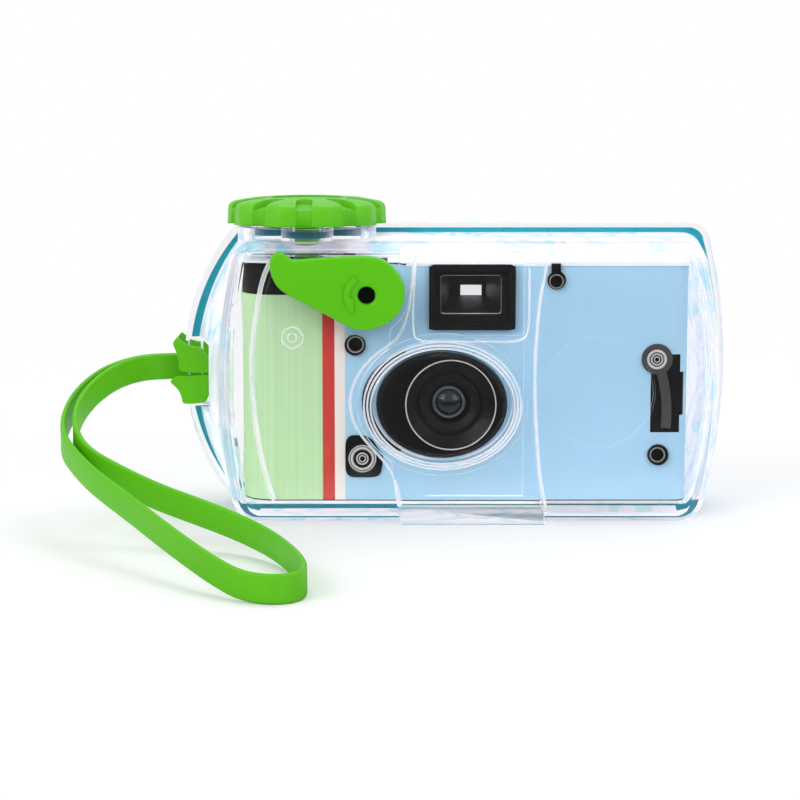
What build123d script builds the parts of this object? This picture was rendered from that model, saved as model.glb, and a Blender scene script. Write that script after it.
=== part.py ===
# Waterproof single-use film camera: a sealed clear housing round a carded film camera.
# Millimetres. X runs to the right as the lens is looked at, the lens faces -Y and Z is up.
# The origin is at the middle of the housing's footprint, on the surface that it stands on.
# A size that ends in front is a distance forward of the origin, towards -Y.

from build123d import *
from math import cos, pi, radians, sin, tan
import os

os.makedirs("parts", exist_ok=True)

# Clearances
move_gap = 0.3
running_gap = 0.05
seat_gap = 0.1
overrun = 1.0

# Housing: overall sizes of the two clear shells
housing_half_width = 63.0
housing_height = 66.6
housing_half_depth = 24.0
face_front = 19.0
parting_front = -6.0
flange_depth = 3.0
wall = 2.2
floor_wall = 4.2

# Housing outlines: how far each side bows out beyond its corners
flange_left_bow = 12.5
flange_right_bow = 4.6
flange_corner = 4.5
wall_step = 2.0
wall_left_bow = 12.0
wall_right_bow = 4.4
face_left_inset = 10.0
face_right_inset = 4.0
face_top_inset = 3.2
face_left_bow = 3.4
face_right_bow = 3.8
face_corner = 6.0
face_fillet = 4.2
back_left_inset = 8.0
back_left_bow = 5.5
back_fillet = 3.0
edge_steps = 4
cavity_left_bow = 8.0
cavity_corner = 1.2
cavity_face_left_bow = 2.6
cavity_back_left_bow = 4.5
cavity_face_corner = 2.6
cavity_fillet = 1.4

# Raised block down the middle of the front shell
block_left = -12.4
block_right = 20.3
block_waist = 3.0
block_rise = 2.0
block_top_gap = 1.2
block_edge = 0.6

# Window frame in front of the viewfinder
window_centre_x = 3.1
window_centre_z = 52.2
window_width = 25.6
window_height = 19.6
window_corner = 2.0
window_rim = 0.8
window_rise = 0.5

# Clear port in front of the lens
port_centre_x = -3.1
port_centre_z = 27.6
port_width = 35.6
port_height = 29.4
port_step = 1.3
port_step_rise = 0.9
port_front = 23.6
port_wall = 2.2

# Lines moulded in the front face
rib_top_x = -41.5
rib_mid_x = -45.9
rib_width = 1.0
rib_rise = 0.5
rib_end_gap = 6.0
ring_x = 32.0
ring_z = 30.1
ring_radius = 12.7
ring_width = 0.5
ring_rise = 0.25
gate_mark_x = -36.7
gate_mark_z = 42.3
gate_mark_radius = 2.4
gate_mark_width = 0.5

# Lug for the strap in the left edge of the flange
lug_z = 31.7
lug_slot_height = 15.0
lug_slot_inset = 6.6
lug_slot_width = 2.7
lug_bar_width = 3.0
lug_relief = 0.6
lug_wall = 3.8

# Seal between the shells
seal_inset = 1.2
seal_width = 1.8
seal_depth = 1.2
seal_lug_wall = 0.8
seal_lug_fillet = 0.6

# Winding knob, its collar and its stem
knob_x = -34.0
knob_front = 1.0
knob_radius = 18.2
knob_height = 5.8
knob_shoulder = 2.6
knob_gap = 0.4
knob_groove_count = 10
knob_groove_radius = 2.1
knob_groove_offset = 0.5
knob_dish_radius = 11.5
knob_dish_depth = 0.8
knob_skirt_wall = 2.4
knob_top_wall = 2.0
collar_radius = 15.9
collar_drop = 5.2
collar_below_top = 0.3
collar_wall = 2.6
collar_pocket_depth = 3.3
collar_pocket_back = 3.0
collar_boss_radius = 6.0
collar_boss_drop = 5.4
stem_radius = 3.0
stem_end_z = 59.4
clip_z = 59.9
clip_thickness = 0.7
clip_radius = 5.2
clip_opening = 3.6
clip_groove_depth = 0.6
stem_seal_height = 1.5
stem_seal_width = 1.5
stem_seal_drop = 1.2
dog_width = 1.2
dog_length = 5.6
dog_height = 3.0
front_angle = -90.0

# Shutter lever, its shaft, its seal and the arm inside
lever_x = -20.0
lever_z = 52.3
lever_radius = 8.3
lever_gap = 1.4
lever_thickness = 3.6
lever_hole_radius = 1.9
lever_hole_depth = 2.2
lever_edge = 0.9
lever_top_z = 60.6
lever_notch_x = -35.6
lever_notch_z = 59.9
lever_tip_x = -38.6
lever_tip_z = 62.2
lever_nose_x = -41.7
lever_nose_z = 58.4
lever_heel_x = -39.3
lever_heel_z = 53.4
lever_belly_x = -24.4
lever_belly_z = 45.3
lever_nose_fillet = 1.2
lever_hollow_radius = 6.4
lever_hollow_depth = 2.0
lever_seat_radius = 9.4
arrow_radius = 5.2
arrow_width = 0.9
arrow_rise = 0.2
arrow_start = 125.0
arrow_end = 205.0
arrow_head = 2.0
lever_boss_radius = 4.0
lever_boss_rise = 1.1
lever_inner_boss_radius = 4.4
lever_inner_boss_depth = 1.6
lever_seal_width = 1.4
lever_seal_depth = 1.4
arm_radius = 3.6
arm_thickness = 2.0
arm_top_rise = 8.3
arm_finger_x = -24.0
arm_finger_width = 2.4
arm_finger_height = 1.0
arm_finger_length = 5.6
lever_spring_radius = 5.2
lever_spring_wire = 0.5
lever_spring_pitch = 1.1
lever_spring_turns = 2.2
spring_checks = 90

# Inner camera: overall sizes, with the printed card on
camera_left = -48.3
camera_right = 52.3
camera_bottom = 4.6
camera_top = 58.8
camera_half_depth = 15.5
camera_left_corner = 8.0
camera_right_corner = 3.0
camera_split_front = 2.0
card_thickness = 0.3
card_margin = 0.4
cover_wall = 1.2

# Openings and posts in the front cover, seen through the card
recess_radius = 10.2
recess_depth = 3.1
arm_recess_radius = 4.4
corner_cut_x = -37.4
corner_cut_z = 51.7
post_rise = 0.8
post_hole_depth = 1.6
upper_post_x = -22.7
upper_post_z = 40.4
upper_post_radius = 2.3
upper_post_hole = 1.4
lower_post_x = -21.1
lower_post_z = 14.5
lower_post_radius = 3.6
lower_post_hole = 1.0
top_post_x = 22.5
top_post_z = 55.0
top_post_radius = 2.0
top_post_hole = 1.2
foot_post_x = 45.8
foot_post_z = 15.4
foot_post_radius = 2.3
foot_post_hole = 1.5
post_ring = 0.6
side_slot_left = 48.9
side_slot_bottom = 24.4
side_slot_top = 34.3
latch_x = 45.3
latch_z = 37.2
latch_radius = 3.4
latch_hole = 1.2
latch_foot_x = 47.4
latch_foot_z = 21.6
latch_width = 2.2
latch_thickness = 1.0
latch_bow = 0.9

# Lens and its surround
lens_x = -1.4
lens_z = 27.4
surround_x = -3.2
surround_z = 27.2
surround_side_margin = 3.1
surround_end_margin = 2.7
surround_front = 19.4
surround_edge = 1.0
dish_radius = 10.2
dish_throat = 6.9
dish_depth = 2.2
barrel_radius = 6.8
barrel_front = 17.6
barrel_depth = 4.6
barrel_rim = 0.6
lens_radius = 4.6
lens_thickness = 2.4
lens_crown = 0.8
lens_front = 15.8
lens_ring_thickness = 1.0
aperture_radius = 1.6

# Viewfinder
finder_left = -6.1
finder_right = 13.3
finder_bottom = 43.9
finder_top = 58.6
finder_rise = 1.5
finder_corner = 1.3
finder_bezel = 1.4
finder_bezel_depth = 1.0
finder_window_width = 13.8
finder_window_height = 8.8
finder_window_x = 3.3
finder_window_z = 51.8
finder_lens_thickness = 1.6
finder_lens_sink = 1.0
finder_lens_corner = 0.8
finder_wall = 0.8
eyepiece_width = 8.4
eyepiece_height = 6.0
eyepiece_thickness = 1.8

# Chassis inside the covers
chassis_gap = 0.2
chassis_front = 9.4
chassis_floor = 1.4
chamber_top_z = 50.9
bridge_top_z = 41.8
bridge_half_width = 18.6
deck_thickness = 0.8
seat_ring_width = 1.4
pocket_offset = 14.0
pocket_width = 5.0
pocket_depth = 8.0
pad_margin = 0.4
chamber_gap = 0.4
gate_width = 36.0
gate_height = 24.0
film_front = -11.4
film_channel = 0.5
cone_mouth_width = 8.0
cone_mouth_height = 7.0
post_radius = 0.8
spring_room = 1.2

# Film, its cassette and its spools
film_width = 35.0
film_thickness = 0.16
film_z = 27.6
can_radius = 12.4
can_wall = 0.5
can_height = 44.0
can_rim_height = 1.6
can_rim_step = 0.3
can_lip_length = 1.6
can_lip_thickness = 2.2
spool_radius = 5.75
spool_end_radius = 4.2
spool_end_rise = 1.8
spool_flange_thickness = 0.9
spool_flange_gap = 0.2
spool_bore = 2.6
supply_x = 35.4
supply_front = -1.6
supply_core_radius = 4.2
supply_flange_radius = 10.2
supply_pin_radius = 1.8
roll_radius = 9.5

# Winding wheel, pawl, sprocket and frame counter
wheel_radius = 9.8
wheel_z = 52.4
wheel_thickness = 2.8
wheel_teeth = 36
wheel_tooth_depth = 0.7
wheel_hub_radius = 4.6
wheel_hub_top = 58.2
wheel_slot_depth = 2.2
wheel_key_height = 1.2
pawl_x = -22.3
pawl_front = -9.2
pawl_hub_radius = 1.9
pawl_tip_x = -29.5
pawl_tip_front = -8.4
pawl_width = 1.6
pawl_thickness = 1.6
pawl_bore = 0.8
sprocket_x = -14.5
sprocket_teeth = 8
perforation_pitch = 4.75
perforation_width = 2.0
perforation_height = 2.8
perforation_inset = 3.4
sprocket_thickness = 1.2
sprocket_tooth_height = 1.1
sprocket_tooth_radius = 0.7
sprocket_z = 43.2
sprocket_shaft_radius = 1.4
sprocket_shaft_top = 56.8
sprocket_bearing_depth = 3.2
dial_x = 22.0
dial_front = -3.0
dial_radius = 7.2
dial_teeth = 30
dial_tooth_depth = 0.6
dial_z = 55.2
dial_thickness = 1.0
dial_hub_radius = 1.6
counter_window_radius = 2.4
counter_window_offset = 4.4

# Shutter release, striker and blade
button_x = -25.0
button_front = 9.0
button_radius = 2.6
button_stem_radius = 1.2
button_stem_end = 52.2
button_head_height = 1.1
button_gap = 0.3
well_floor_z = 56.9
well_margin = 1.4
striker_x = -12.5
striker_z = 40.0
striker_tip_x = -3.5
striker_tip_z = 41.2
striker_width = 1.6
striker_front = 10.5
striker_thickness = 0.8
striker_hub_radius = 1.8
striker_pin_radius = 0.5
blade_x = 6.5
blade_z = 38.5
blade_front = 9.7
blade_thickness = 0.3
blade_cover_radius = 3.0
blade_hub_radius = 1.9
blade_neck_width = 2.6
blade_tab_x = -4.6
blade_tab_z = 39.4
blade_tab_width = 1.6
spring_wire = 0.35
spring_pitch = 0.85
striker_spring_radius = 1.7
striker_spring_turns = 2.5
blade_spring_radius = 1.5
blade_spring_turns = 3.5

# Wrist strap: a flat band that stands on edge
strap_width = 6.0
strap_thickness = 1.8
hitch_gap = 0.35
hitch_reach = 9.4
hitch_height = 14.4
hitch_right_height = 6.0
hitch_split = 0.5
hitch_corner = 1.4
strap_bend_share = 0.45
strap_steps = 96

# Worked out from the sizes above
flange_front = parting_front + flange_depth
flange_back = parting_front - flange_depth
back_front = -housing_half_depth
wall_left = -housing_half_width + wall_step
wall_right = housing_half_width - wall_step
wall_top = housing_height - wall_step
face_top = housing_height - face_top_inset
face_inner = face_front - wall
lug_slot_right = -housing_half_width + lug_slot_inset
surround_width = port_width - 2 * surround_side_margin
surround_height = port_height - 2 * surround_end_margin
lever_back = face_front + lever_gap
lever_front = lever_back + lever_thickness
knob_bottom = housing_height + knob_gap
knob_top = knob_bottom + knob_height
cover_front = camera_half_depth - card_thickness
can_bottom = camera_bottom + cover_wall
can_top = can_bottom + can_height
sprocket_radius = sprocket_teeth * perforation_pitch / (2 * pi)
block_front = face_front + block_rise
arm_front = face_inner - lever_inner_boss_depth - move_gap


def facing(front):
    """Plane that looks forward, at a distance in front of the origin."""
    return Plane.XZ.offset(front)


def level(height):
    """Level plane at a height."""
    return Plane.XY.offset(height)


def bowed_outline(left, right, bottom, top, left_bow, right_bow, corner):
    """Outline of the housing from the front: flat top and bottom, bowed sides."""
    middle = (bottom + top) / 2
    with BuildSketch(Plane.XY) as outline:
        with BuildLine():
            Line((left + left_bow, top), (right - right_bow, top))
            ThreePointArc((right - right_bow, top), (right, middle), (right - right_bow, bottom))
            Line((right - right_bow, bottom), (left + left_bow, bottom))
            ThreePointArc((left + left_bow, bottom), (left, middle), (left + left_bow, top))
        make_face()
        fillet(outline.vertices(), radius=corner)
    return outline.sketch


def flange_outline(inset):
    """Outline of the flange, drawn in by an inset."""
    return bowed_outline(-housing_half_width + inset, housing_half_width - inset, inset,
                         housing_height - inset, flange_left_bow, flange_right_bow,
                         flange_corner - inset)


def shell_outline(near, far, share, inset):
    """Outline part of the way from the near outline's sizes to the far one's, drawn in."""
    left, right, bottom, top, left_bow, right_bow, corner = [
        near_size + (far_size - near_size) * share for near_size, far_size in zip(near, far)]
    return bowed_outline(left + inset, right - inset, bottom + inset, top - inset,
                         left_bow, right_bow, corner - inset)


def add_shell(near, far, near_front, far_front, edge_radius):
    """Body that narrows from the near outline to the far one, with its far edge rounded."""
    depth = far_front - near_front
    side = 1 if depth > 0 else -1
    straight = abs(depth) - edge_radius
    sections = []
    for step in range(edge_steps + 2):
        angle = max(step - 1, 0) * pi / 2 / edge_steps
        reach = 0 if step == 0 else straight + edge_radius * sin(angle)
        outline = shell_outline(near, far, reach / abs(depth), edge_radius * (1 - cos(angle)))
        sections.append(facing(near_front + side * reach) * outline)
    loft(sections, ruled=True)


def seal_outline(inset, lug_wall_left):
    """Edge of the seal: the flange drawn in, with a step round the lug."""
    step_right = lug_slot_right + lug_wall_left
    step_left = -housing_half_width - overrun
    step_height = lug_slot_height + 2 * lug_wall_left
    with BuildSketch(Plane.XY) as outline:
        add(flange_outline(inset))
        with Locations(((step_left + step_right) / 2, lug_z)):
            RectangleRounded(step_right - step_left, step_height,
                             seal_lug_fillet + lug_wall_left, mode=Mode.SUBTRACT)
    return outline.sketch


def camera_plan(inset):
    """Outline of the inner camera from above, drawn in by an inset. Local Y is towards the back."""
    left = camera_left + inset
    right = camera_right - inset
    half = camera_half_depth - inset
    with BuildSketch(Plane.XY) as plan:
        with Locations(((left + right) / 2, 0)):
            Rectangle(right - left, 2 * half)
        fillet(plan.vertices().group_by(Axis.X)[0], radius=camera_left_corner - inset)
        fillet(plan.vertices().group_by(Axis.X)[-1], radius=camera_right_corner - inset)
    return plan.sketch


# Hollow shapes that the shells and the drum are cut by

wall_sizes = (wall_left, wall_right, 0, wall_top, wall_left_bow, wall_right_bow, flange_corner)
face_sizes = (-housing_half_width + face_left_inset, housing_half_width - face_right_inset,
              0, face_top, face_left_bow, face_right_bow, face_corner)
back_sizes = (-housing_half_width + back_left_inset, housing_half_width - face_right_inset,
              0, face_top, back_left_bow, face_right_bow, face_corner)
cavity_sizes = (wall_left + wall, wall_right - wall, floor_wall, wall_top - wall,
                cavity_left_bow, wall_right_bow, cavity_corner)
cavity_face_sizes = (face_sizes[0] + wall, face_sizes[1] - wall, floor_wall, face_top - wall,
                     cavity_face_left_bow, face_right_bow, cavity_face_corner)
cavity_back_sizes = (back_sizes[0] + wall, back_sizes[1] - wall, floor_wall, face_top - wall,
                     cavity_back_left_bow, face_right_bow, cavity_face_corner)

with BuildPart() as front_cavity:
    add_shell(cavity_sizes, cavity_face_sizes, parting_front, face_inner, cavity_fillet)

with BuildPart() as back_cavity:
    add_shell(cavity_sizes, cavity_back_sizes, parting_front, back_front + wall, cavity_fillet)

lug_recess_height = lug_slot_height + 2 * lug_relief
lug_block_right = lug_slot_right + lug_wall
lug_block_height = lug_slot_height + 2 * lug_wall


def cut_lug_block(front, depth):
    """Leaves solid plastic round the lug, inside the walls."""
    with BuildSketch(facing(front)) as cutter:
        with Locations(((lug_block_right - housing_half_width) / 2, lug_z)):
            Rectangle(lug_block_right + housing_half_width, lug_block_height)
    extrude(cutter.sketch, amount=depth, mode=Mode.SUBTRACT)


def cut_lug_recess(front, depth):
    """Clears the wall away beside the lug, so that the strap can pass."""
    with BuildSketch(facing(front)) as cutter:
        with Locations(((lug_slot_right - housing_half_width) / 2 - overrun, lug_z)):
            Rectangle(lug_slot_right + housing_half_width + 2 * overrun, lug_recess_height)
    extrude(cutter.sketch, amount=depth, mode=Mode.SUBTRACT)


def cut_lug_slot(front, depth):
    """Slot that the strap goes through, with its bar on the outside."""
    bar_left = lug_slot_right - lug_slot_width - lug_bar_width
    with BuildSketch(facing(front)) as cutter:
        with Locations((lug_slot_right - lug_slot_width / 2, lug_z)):
            Rectangle(lug_slot_width, lug_slot_height)
        with Locations((bar_left - housing_half_width / 2, lug_z)):
            Rectangle(housing_half_width, lug_slot_height)
    extrude(cutter.sketch, amount=depth, mode=Mode.SUBTRACT)


with BuildPart() as front_hollow:
    add(front_cavity.part)
    cut_lug_block(parting_front - overrun, face_front - parting_front + 2 * overrun)

with BuildPart() as back_hollow:
    add(back_cavity.part)
    cut_lug_block(back_front - overrun, parting_front - back_front + 2 * overrun)

# Hollow behind the raised block, the window and the port
with BuildPart() as block_hollow:
    with BuildSketch(facing(face_inner - wall)):
        with Locations(((block_left + block_right) / 2, (floor_wall + face_top - wall) / 2)):
            Rectangle(block_right - block_left - 2 * wall - 2 * block_waist,
                      face_top - floor_wall - 3 * wall)
    extrude(amount=wall + block_rise)

with BuildPart() as port_hollow:
    with BuildSketch(facing(face_inner - wall)):
        with Locations((port_centre_x, port_centre_z)):
            Ellipse(port_width / 2 - port_wall, port_height / 2 - port_wall)
    extrude(amount=port_front - port_wall - face_inner + wall)

# Front shell of the housing

with BuildPart() as front_wall:
    add_shell(wall_sizes, face_sizes, parting_front, face_front, face_fillet)

with BuildPart() as front_housing:
    add(front_wall.part)
    with BuildSketch(facing(parting_front)):
        add(flange_outline(0))
    extrude(amount=flange_depth)
    # Raised block, with hollow sides
    with BuildSketch(facing(parting_front + flange_depth)):
        with BuildLine():
            block_base = 0
            block_head = face_top - block_top_gap
            block_mid = (block_base + block_head) / 2
            Line((block_left, block_base), (block_right, block_base))
            ThreePointArc((block_right, block_base), (block_right - block_waist, block_mid),
                          (block_right, block_head))
            Line((block_right, block_head), (block_left, block_head))
            ThreePointArc((block_left, block_head), (block_left - block_waist, block_mid),
                          (block_left, block_base))
        make_face()
    extrude(amount=block_front - parting_front - flange_depth)
    front_edges = front_housing.faces().sort_by(Axis.Y)[0].edges()
    fillet(front_edges, radius=block_edge)
    # Port steps
    for step in range(3):
        with BuildSketch(facing(face_inner)):
            with Locations((port_centre_x, port_centre_z)):
                Ellipse(port_width / 2 + (1 - step) * port_step,
                        port_height / 2 + (1 - step) * port_step)
        extrude(amount=port_front - face_inner - (2 - step) * port_step_rise)
    # Window frame
    with BuildSketch(facing(face_inner)):
        with Locations((window_centre_x, window_centre_z)):
            RectangleRounded(window_width, window_height, window_corner)
            RectangleRounded(window_width - 2 * window_rim, window_height - 2 * window_rim,
                             window_corner - window_rim, mode=Mode.SUBTRACT)
    extrude(amount=block_front + window_rise - face_inner)
    # Curved rib, ring and gate mark on the face
    with BuildSketch(facing(face_inner)):
        with BuildLine() as rib_line:
            rib_mid_z = face_top / 2
            ThreePointArc((rib_top_x, face_top - rib_end_gap), (rib_mid_x, rib_mid_z),
                          (rib_top_x, rib_end_gap))
        trace(line_width=rib_width)
    extrude(amount=wall + rib_rise)
    with BuildSketch(facing(face_inner)):
        with Locations((ring_x, ring_z)):
            Circle(ring_radius)
            Circle(ring_radius - ring_width, mode=Mode.SUBTRACT)
        with Locations((gate_mark_x, gate_mark_z)):
            Circle(gate_mark_radius)
            Circle(gate_mark_radius - gate_mark_width, mode=Mode.SUBTRACT)
    extrude(amount=wall + ring_rise)
    # Collar under the knob, cut off at the parting plane
    collar_top = housing_height - collar_below_top
    with BuildSketch(level(collar_top)):
        with Locations((knob_x, -knob_front)):
            Circle(collar_radius)
        with Locations((knob_x, -parting_front + housing_half_depth)):
            Rectangle(2 * housing_half_width, 2 * housing_half_depth, mode=Mode.SUBTRACT)
    extrude(amount=-collar_drop)
    # Seat of the lever
    with BuildSketch(facing(face_front)):
        with Locations((lever_x, lever_z)):
            Circle(lever_seat_radius)
    extrude(amount=2 * block_rise, mode=Mode.SUBTRACT)
    with BuildSketch(facing(face_inner)):
        with Locations((lever_x, lever_z)):
            Circle(lever_boss_radius)
    extrude(amount=wall + lever_boss_rise)
    # Hollow of the shell
    add(front_hollow.part, mode=Mode.SUBTRACT)
    add(block_hollow.part, mode=Mode.SUBTRACT)
    add(port_hollow.part, mode=Mode.SUBTRACT)
    # Bosses inside for the stem and the lever's shaft
    with BuildSketch(level(collar_top - collar_pocket_depth)):
        with Locations((knob_x, -knob_front)):
            Circle(collar_boss_radius)
    extrude(amount=collar_pocket_depth - collar_boss_drop)
    with BuildSketch(facing(face_inner + wall / 2)):
        with Locations((lever_x, lever_z)):
            Circle(lever_inner_boss_radius)
    extrude(amount=-lever_inner_boss_depth - wall / 2)
    # Pocket round the stem's boss, open at the top
    with BuildSketch(level(collar_top)):
        with Locations((knob_x, -knob_front)):
            Circle(collar_radius - collar_wall)
            Circle(collar_boss_radius, mode=Mode.SUBTRACT)
        with Locations((knob_x, collar_pocket_back - knob_front + housing_half_depth)):
            Rectangle(2 * housing_half_width, 2 * housing_half_depth, mode=Mode.SUBTRACT)
    extrude(amount=-collar_pocket_depth, mode=Mode.SUBTRACT)
    # Bores with their seal seats
    with BuildSketch(level(collar_top)):
        with Locations((knob_x, -knob_front)):
            Circle(stem_radius + running_gap)
    extrude(amount=-collar_boss_drop - overrun, mode=Mode.SUBTRACT)
    with BuildSketch(level(collar_top - stem_seal_drop)):
        with Locations((knob_x, -knob_front)):
            Circle(stem_radius + stem_seal_width)
    extrude(amount=-stem_seal_height, mode=Mode.SUBTRACT)
    with BuildSketch(facing(arm_front)):
        with Locations((lever_x, lever_z)):
            Circle(lever_hole_radius + running_gap)
    extrude(amount=block_front - arm_front, mode=Mode.SUBTRACT)
    with BuildSketch(facing(arm_front)):
        with Locations((lever_x, lever_z)):
            Circle(lever_hole_radius + lever_seal_width)
    extrude(amount=move_gap + lever_seal_depth, mode=Mode.SUBTRACT)
    # Seal groove, lug slot and the relief beside the lug
    with BuildSketch(facing(parting_front)):
        add(seal_outline(seal_inset, seal_lug_wall))
        add(seal_outline(seal_inset + seal_width, seal_lug_wall + seal_width),
            mode=Mode.SUBTRACT)
    extrude(amount=seal_depth, mode=Mode.SUBTRACT)
    cut_lug_slot(parting_front - overrun, flange_depth + overrun)
    cut_lug_recess(flange_front, face_front - flange_front)
front_housing.part.label = "front_housing"
export_step(front_housing.part, "parts/front_housing.step")

# Back shell of the housing

with BuildPart() as back_wall:
    add_shell(wall_sizes, back_sizes, parting_front, back_front, back_fillet)

with BuildPart() as rear_housing:
    add(back_wall.part)
    with BuildSketch(facing(parting_front)):
        add(flange_outline(0))
    extrude(amount=-flange_depth)
    with BuildSketch(level(collar_top)):
        with Locations((knob_x, -knob_front)):
            Circle(collar_radius)
        with Locations((knob_x, -parting_front - housing_half_depth)):
            Rectangle(2 * housing_half_width, 2 * housing_half_depth, mode=Mode.SUBTRACT)
    extrude(amount=-collar_drop)
    add(back_hollow.part, mode=Mode.SUBTRACT)
    with BuildSketch(facing(parting_front)):
        add(seal_outline(seal_inset, seal_lug_wall))
        add(seal_outline(seal_inset + seal_width, seal_lug_wall + seal_width),
            mode=Mode.SUBTRACT)
    extrude(amount=-seal_depth, mode=Mode.SUBTRACT)
    cut_lug_slot(flange_back - overrun, flange_depth + 2 * overrun)
    cut_lug_recess(back_front - overrun, flange_back - back_front + overrun)
rear_housing.part.label = "rear_housing"
export_step(rear_housing.part, "parts/rear_housing.step")

# Seal that lies in the grooves of both shells

with BuildPart() as housing_seal:
    with BuildSketch(facing(parting_front - seal_depth)):
        add(seal_outline(seal_inset, seal_lug_wall))
        add(seal_outline(seal_inset + seal_width, seal_lug_wall + seal_width),
            mode=Mode.SUBTRACT)
    extrude(amount=2 * seal_depth)
housing_seal.part.label = "housing_seal"
export_step(housing_seal.part, "parts/housing_seal.step")

# Winding knob with its stem and drive dog, in one moulding

with BuildPart() as winding_knob:
    with BuildSketch(level(knob_bottom)):
        with Locations((knob_x, -knob_front)):
            Circle(knob_radius)
    extrude(amount=knob_height)
    fillet(winding_knob.faces().sort_by(Axis.Z)[-1].edges(), radius=knob_shoulder)
    with BuildSketch(level(knob_top)):
        with Locations((knob_x, -knob_front)):
            Circle(knob_dish_radius)
    extrude(amount=-knob_dish_depth, mode=Mode.SUBTRACT)
    with BuildSketch(level(knob_bottom)):
        with Locations((knob_x, -knob_front)):
            with PolarLocations(knob_radius + knob_groove_offset, knob_groove_count,
                                start_angle=front_angle):
                Circle(knob_groove_radius)
    extrude(amount=knob_height, mode=Mode.SUBTRACT)
    with BuildSketch(level(knob_bottom)):
        with Locations((knob_x, -knob_front)):
            Circle(knob_radius - knob_groove_radius - knob_skirt_wall)
    extrude(amount=knob_height - knob_dish_depth - knob_top_wall, mode=Mode.SUBTRACT)
    with BuildSketch(level(stem_end_z)):
        with Locations((knob_x, -knob_front)):
            Circle(stem_radius)
    extrude(amount=knob_top - knob_dish_depth - stem_end_z)
    with BuildSketch(level(clip_z)):
        with Locations((knob_x, -knob_front)):
            Circle(stem_radius)
            Circle(stem_radius - clip_groove_depth, mode=Mode.SUBTRACT)
    extrude(amount=clip_thickness, mode=Mode.SUBTRACT)
    with BuildSketch(level(stem_end_z)):
        with Locations((knob_x, -knob_front)):
            Rectangle(dog_length, dog_width)
            Rectangle(dog_width, dog_length)
    extrude(amount=-dog_height)
winding_knob.part.label = "winding_knob"
export_step(winding_knob.part, "parts/winding_knob.step")

# Clip that holds the knob in, pushed into the groove of the stem from behind

with BuildPart() as knob_clip:
    with BuildSketch(level(clip_z)):
        with Locations((knob_x, -knob_front)):
            Circle(clip_radius)
        with Locations((knob_x, clip_radius / 2 - knob_front)):
            Rectangle(clip_opening, clip_radius, mode=Mode.SUBTRACT)
        with Locations((knob_x, -knob_front)):
            Circle(stem_radius - clip_groove_depth, mode=Mode.SUBTRACT)
    extrude(amount=clip_thickness)
knob_clip.part.label = "knob_clip"
export_step(knob_clip.part, "parts/knob_clip.step")

# Seal round the knob's stem

with BuildPart() as knob_seal:
    with BuildSketch(level(collar_top - stem_seal_drop)):
        with Locations((knob_x, -knob_front)):
            Circle(stem_radius + stem_seal_width)
            Circle(stem_radius + running_gap, mode=Mode.SUBTRACT)
    extrude(amount=-stem_seal_height)
knob_seal.part.label = "knob_seal"
export_step(knob_seal.part, "parts/knob_seal.step")

# Shutter lever, with its raised arrow and a hollow behind it for the spring

with BuildPart() as shutter_lever:
    with BuildSketch(facing(lever_back)):
        with Locations((lever_x, lever_z)):
            Circle(lever_radius)
        with BuildLine():
            Polyline((lever_x, lever_top_z), (lever_notch_x, lever_notch_z),
                     (lever_tip_x, lever_tip_z), (lever_nose_x, lever_nose_z),
                     (lever_heel_x, lever_heel_z), (lever_belly_x, lever_belly_z),
                     (lever_x, lever_z), close=True)
        make_face()
    extrude(amount=lever_front - lever_back)
    nose_edges = shutter_lever.edges().filter_by(Axis.Y).sort_by(Axis.X)[:4]
    fillet(nose_edges, radius=lever_nose_fillet)
    chamfer(shutter_lever.faces().sort_by(Axis.Y)[0].edges(), length=lever_edge)
    with BuildSketch(facing(lever_back)):
        with Locations((lever_x, lever_z)):
            Circle(lever_hollow_radius)
            Circle(lever_boss_radius, mode=Mode.SUBTRACT)
    extrude(amount=lever_hollow_depth, mode=Mode.SUBTRACT)
    with BuildSketch(facing(lever_back)):
        with Locations((lever_x, lever_z)):
            Circle(lever_hole_radius)
    extrude(amount=lever_front - lever_back, mode=Mode.SUBTRACT)
    with BuildSketch(facing(lever_front)):
        with BuildLine():
            arrow_line = CenterArc((lever_x, lever_z), arrow_radius, arrow_start,
                                   arrow_end - arrow_start)
        trace(line_width=arrow_width)
        with Locations(arrow_line @ 1):
            Triangle(a=arrow_head, b=arrow_head, c=arrow_head,
                     rotation=arrow_end, align=(Align.CENTER, Align.CENTER))
    extrude(amount=arrow_rise)
shutter_lever.part.label = "shutter_lever"
export_step(shutter_lever.part, "parts/shutter_lever.step")

# Shaft that joins the lever to the arm inside

with BuildPart() as lever_shaft:
    with BuildSketch(facing(arm_front - arm_thickness)):
        with Locations((lever_x, lever_z)):
            Circle(lever_hole_radius)
    extrude(amount=lever_front - lever_hole_depth - arm_front + arm_thickness)
lever_shaft.part.label = "lever_shaft"
export_step(lever_shaft.part, "parts/lever_shaft.step")

# Seal round the lever's shaft

with BuildPart() as lever_seal:
    with BuildSketch(facing(arm_front + move_gap)):
        with Locations((lever_x, lever_z)):
            Circle(lever_hole_radius + lever_seal_width)
            Circle(lever_hole_radius + running_gap, mode=Mode.SUBTRACT)
    extrude(amount=lever_seal_depth)
lever_seal.part.label = "lever_seal"
export_step(lever_seal.part, "parts/lever_seal.step")

# Arm inside the housing, whose finger lies over the shutter button

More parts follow.
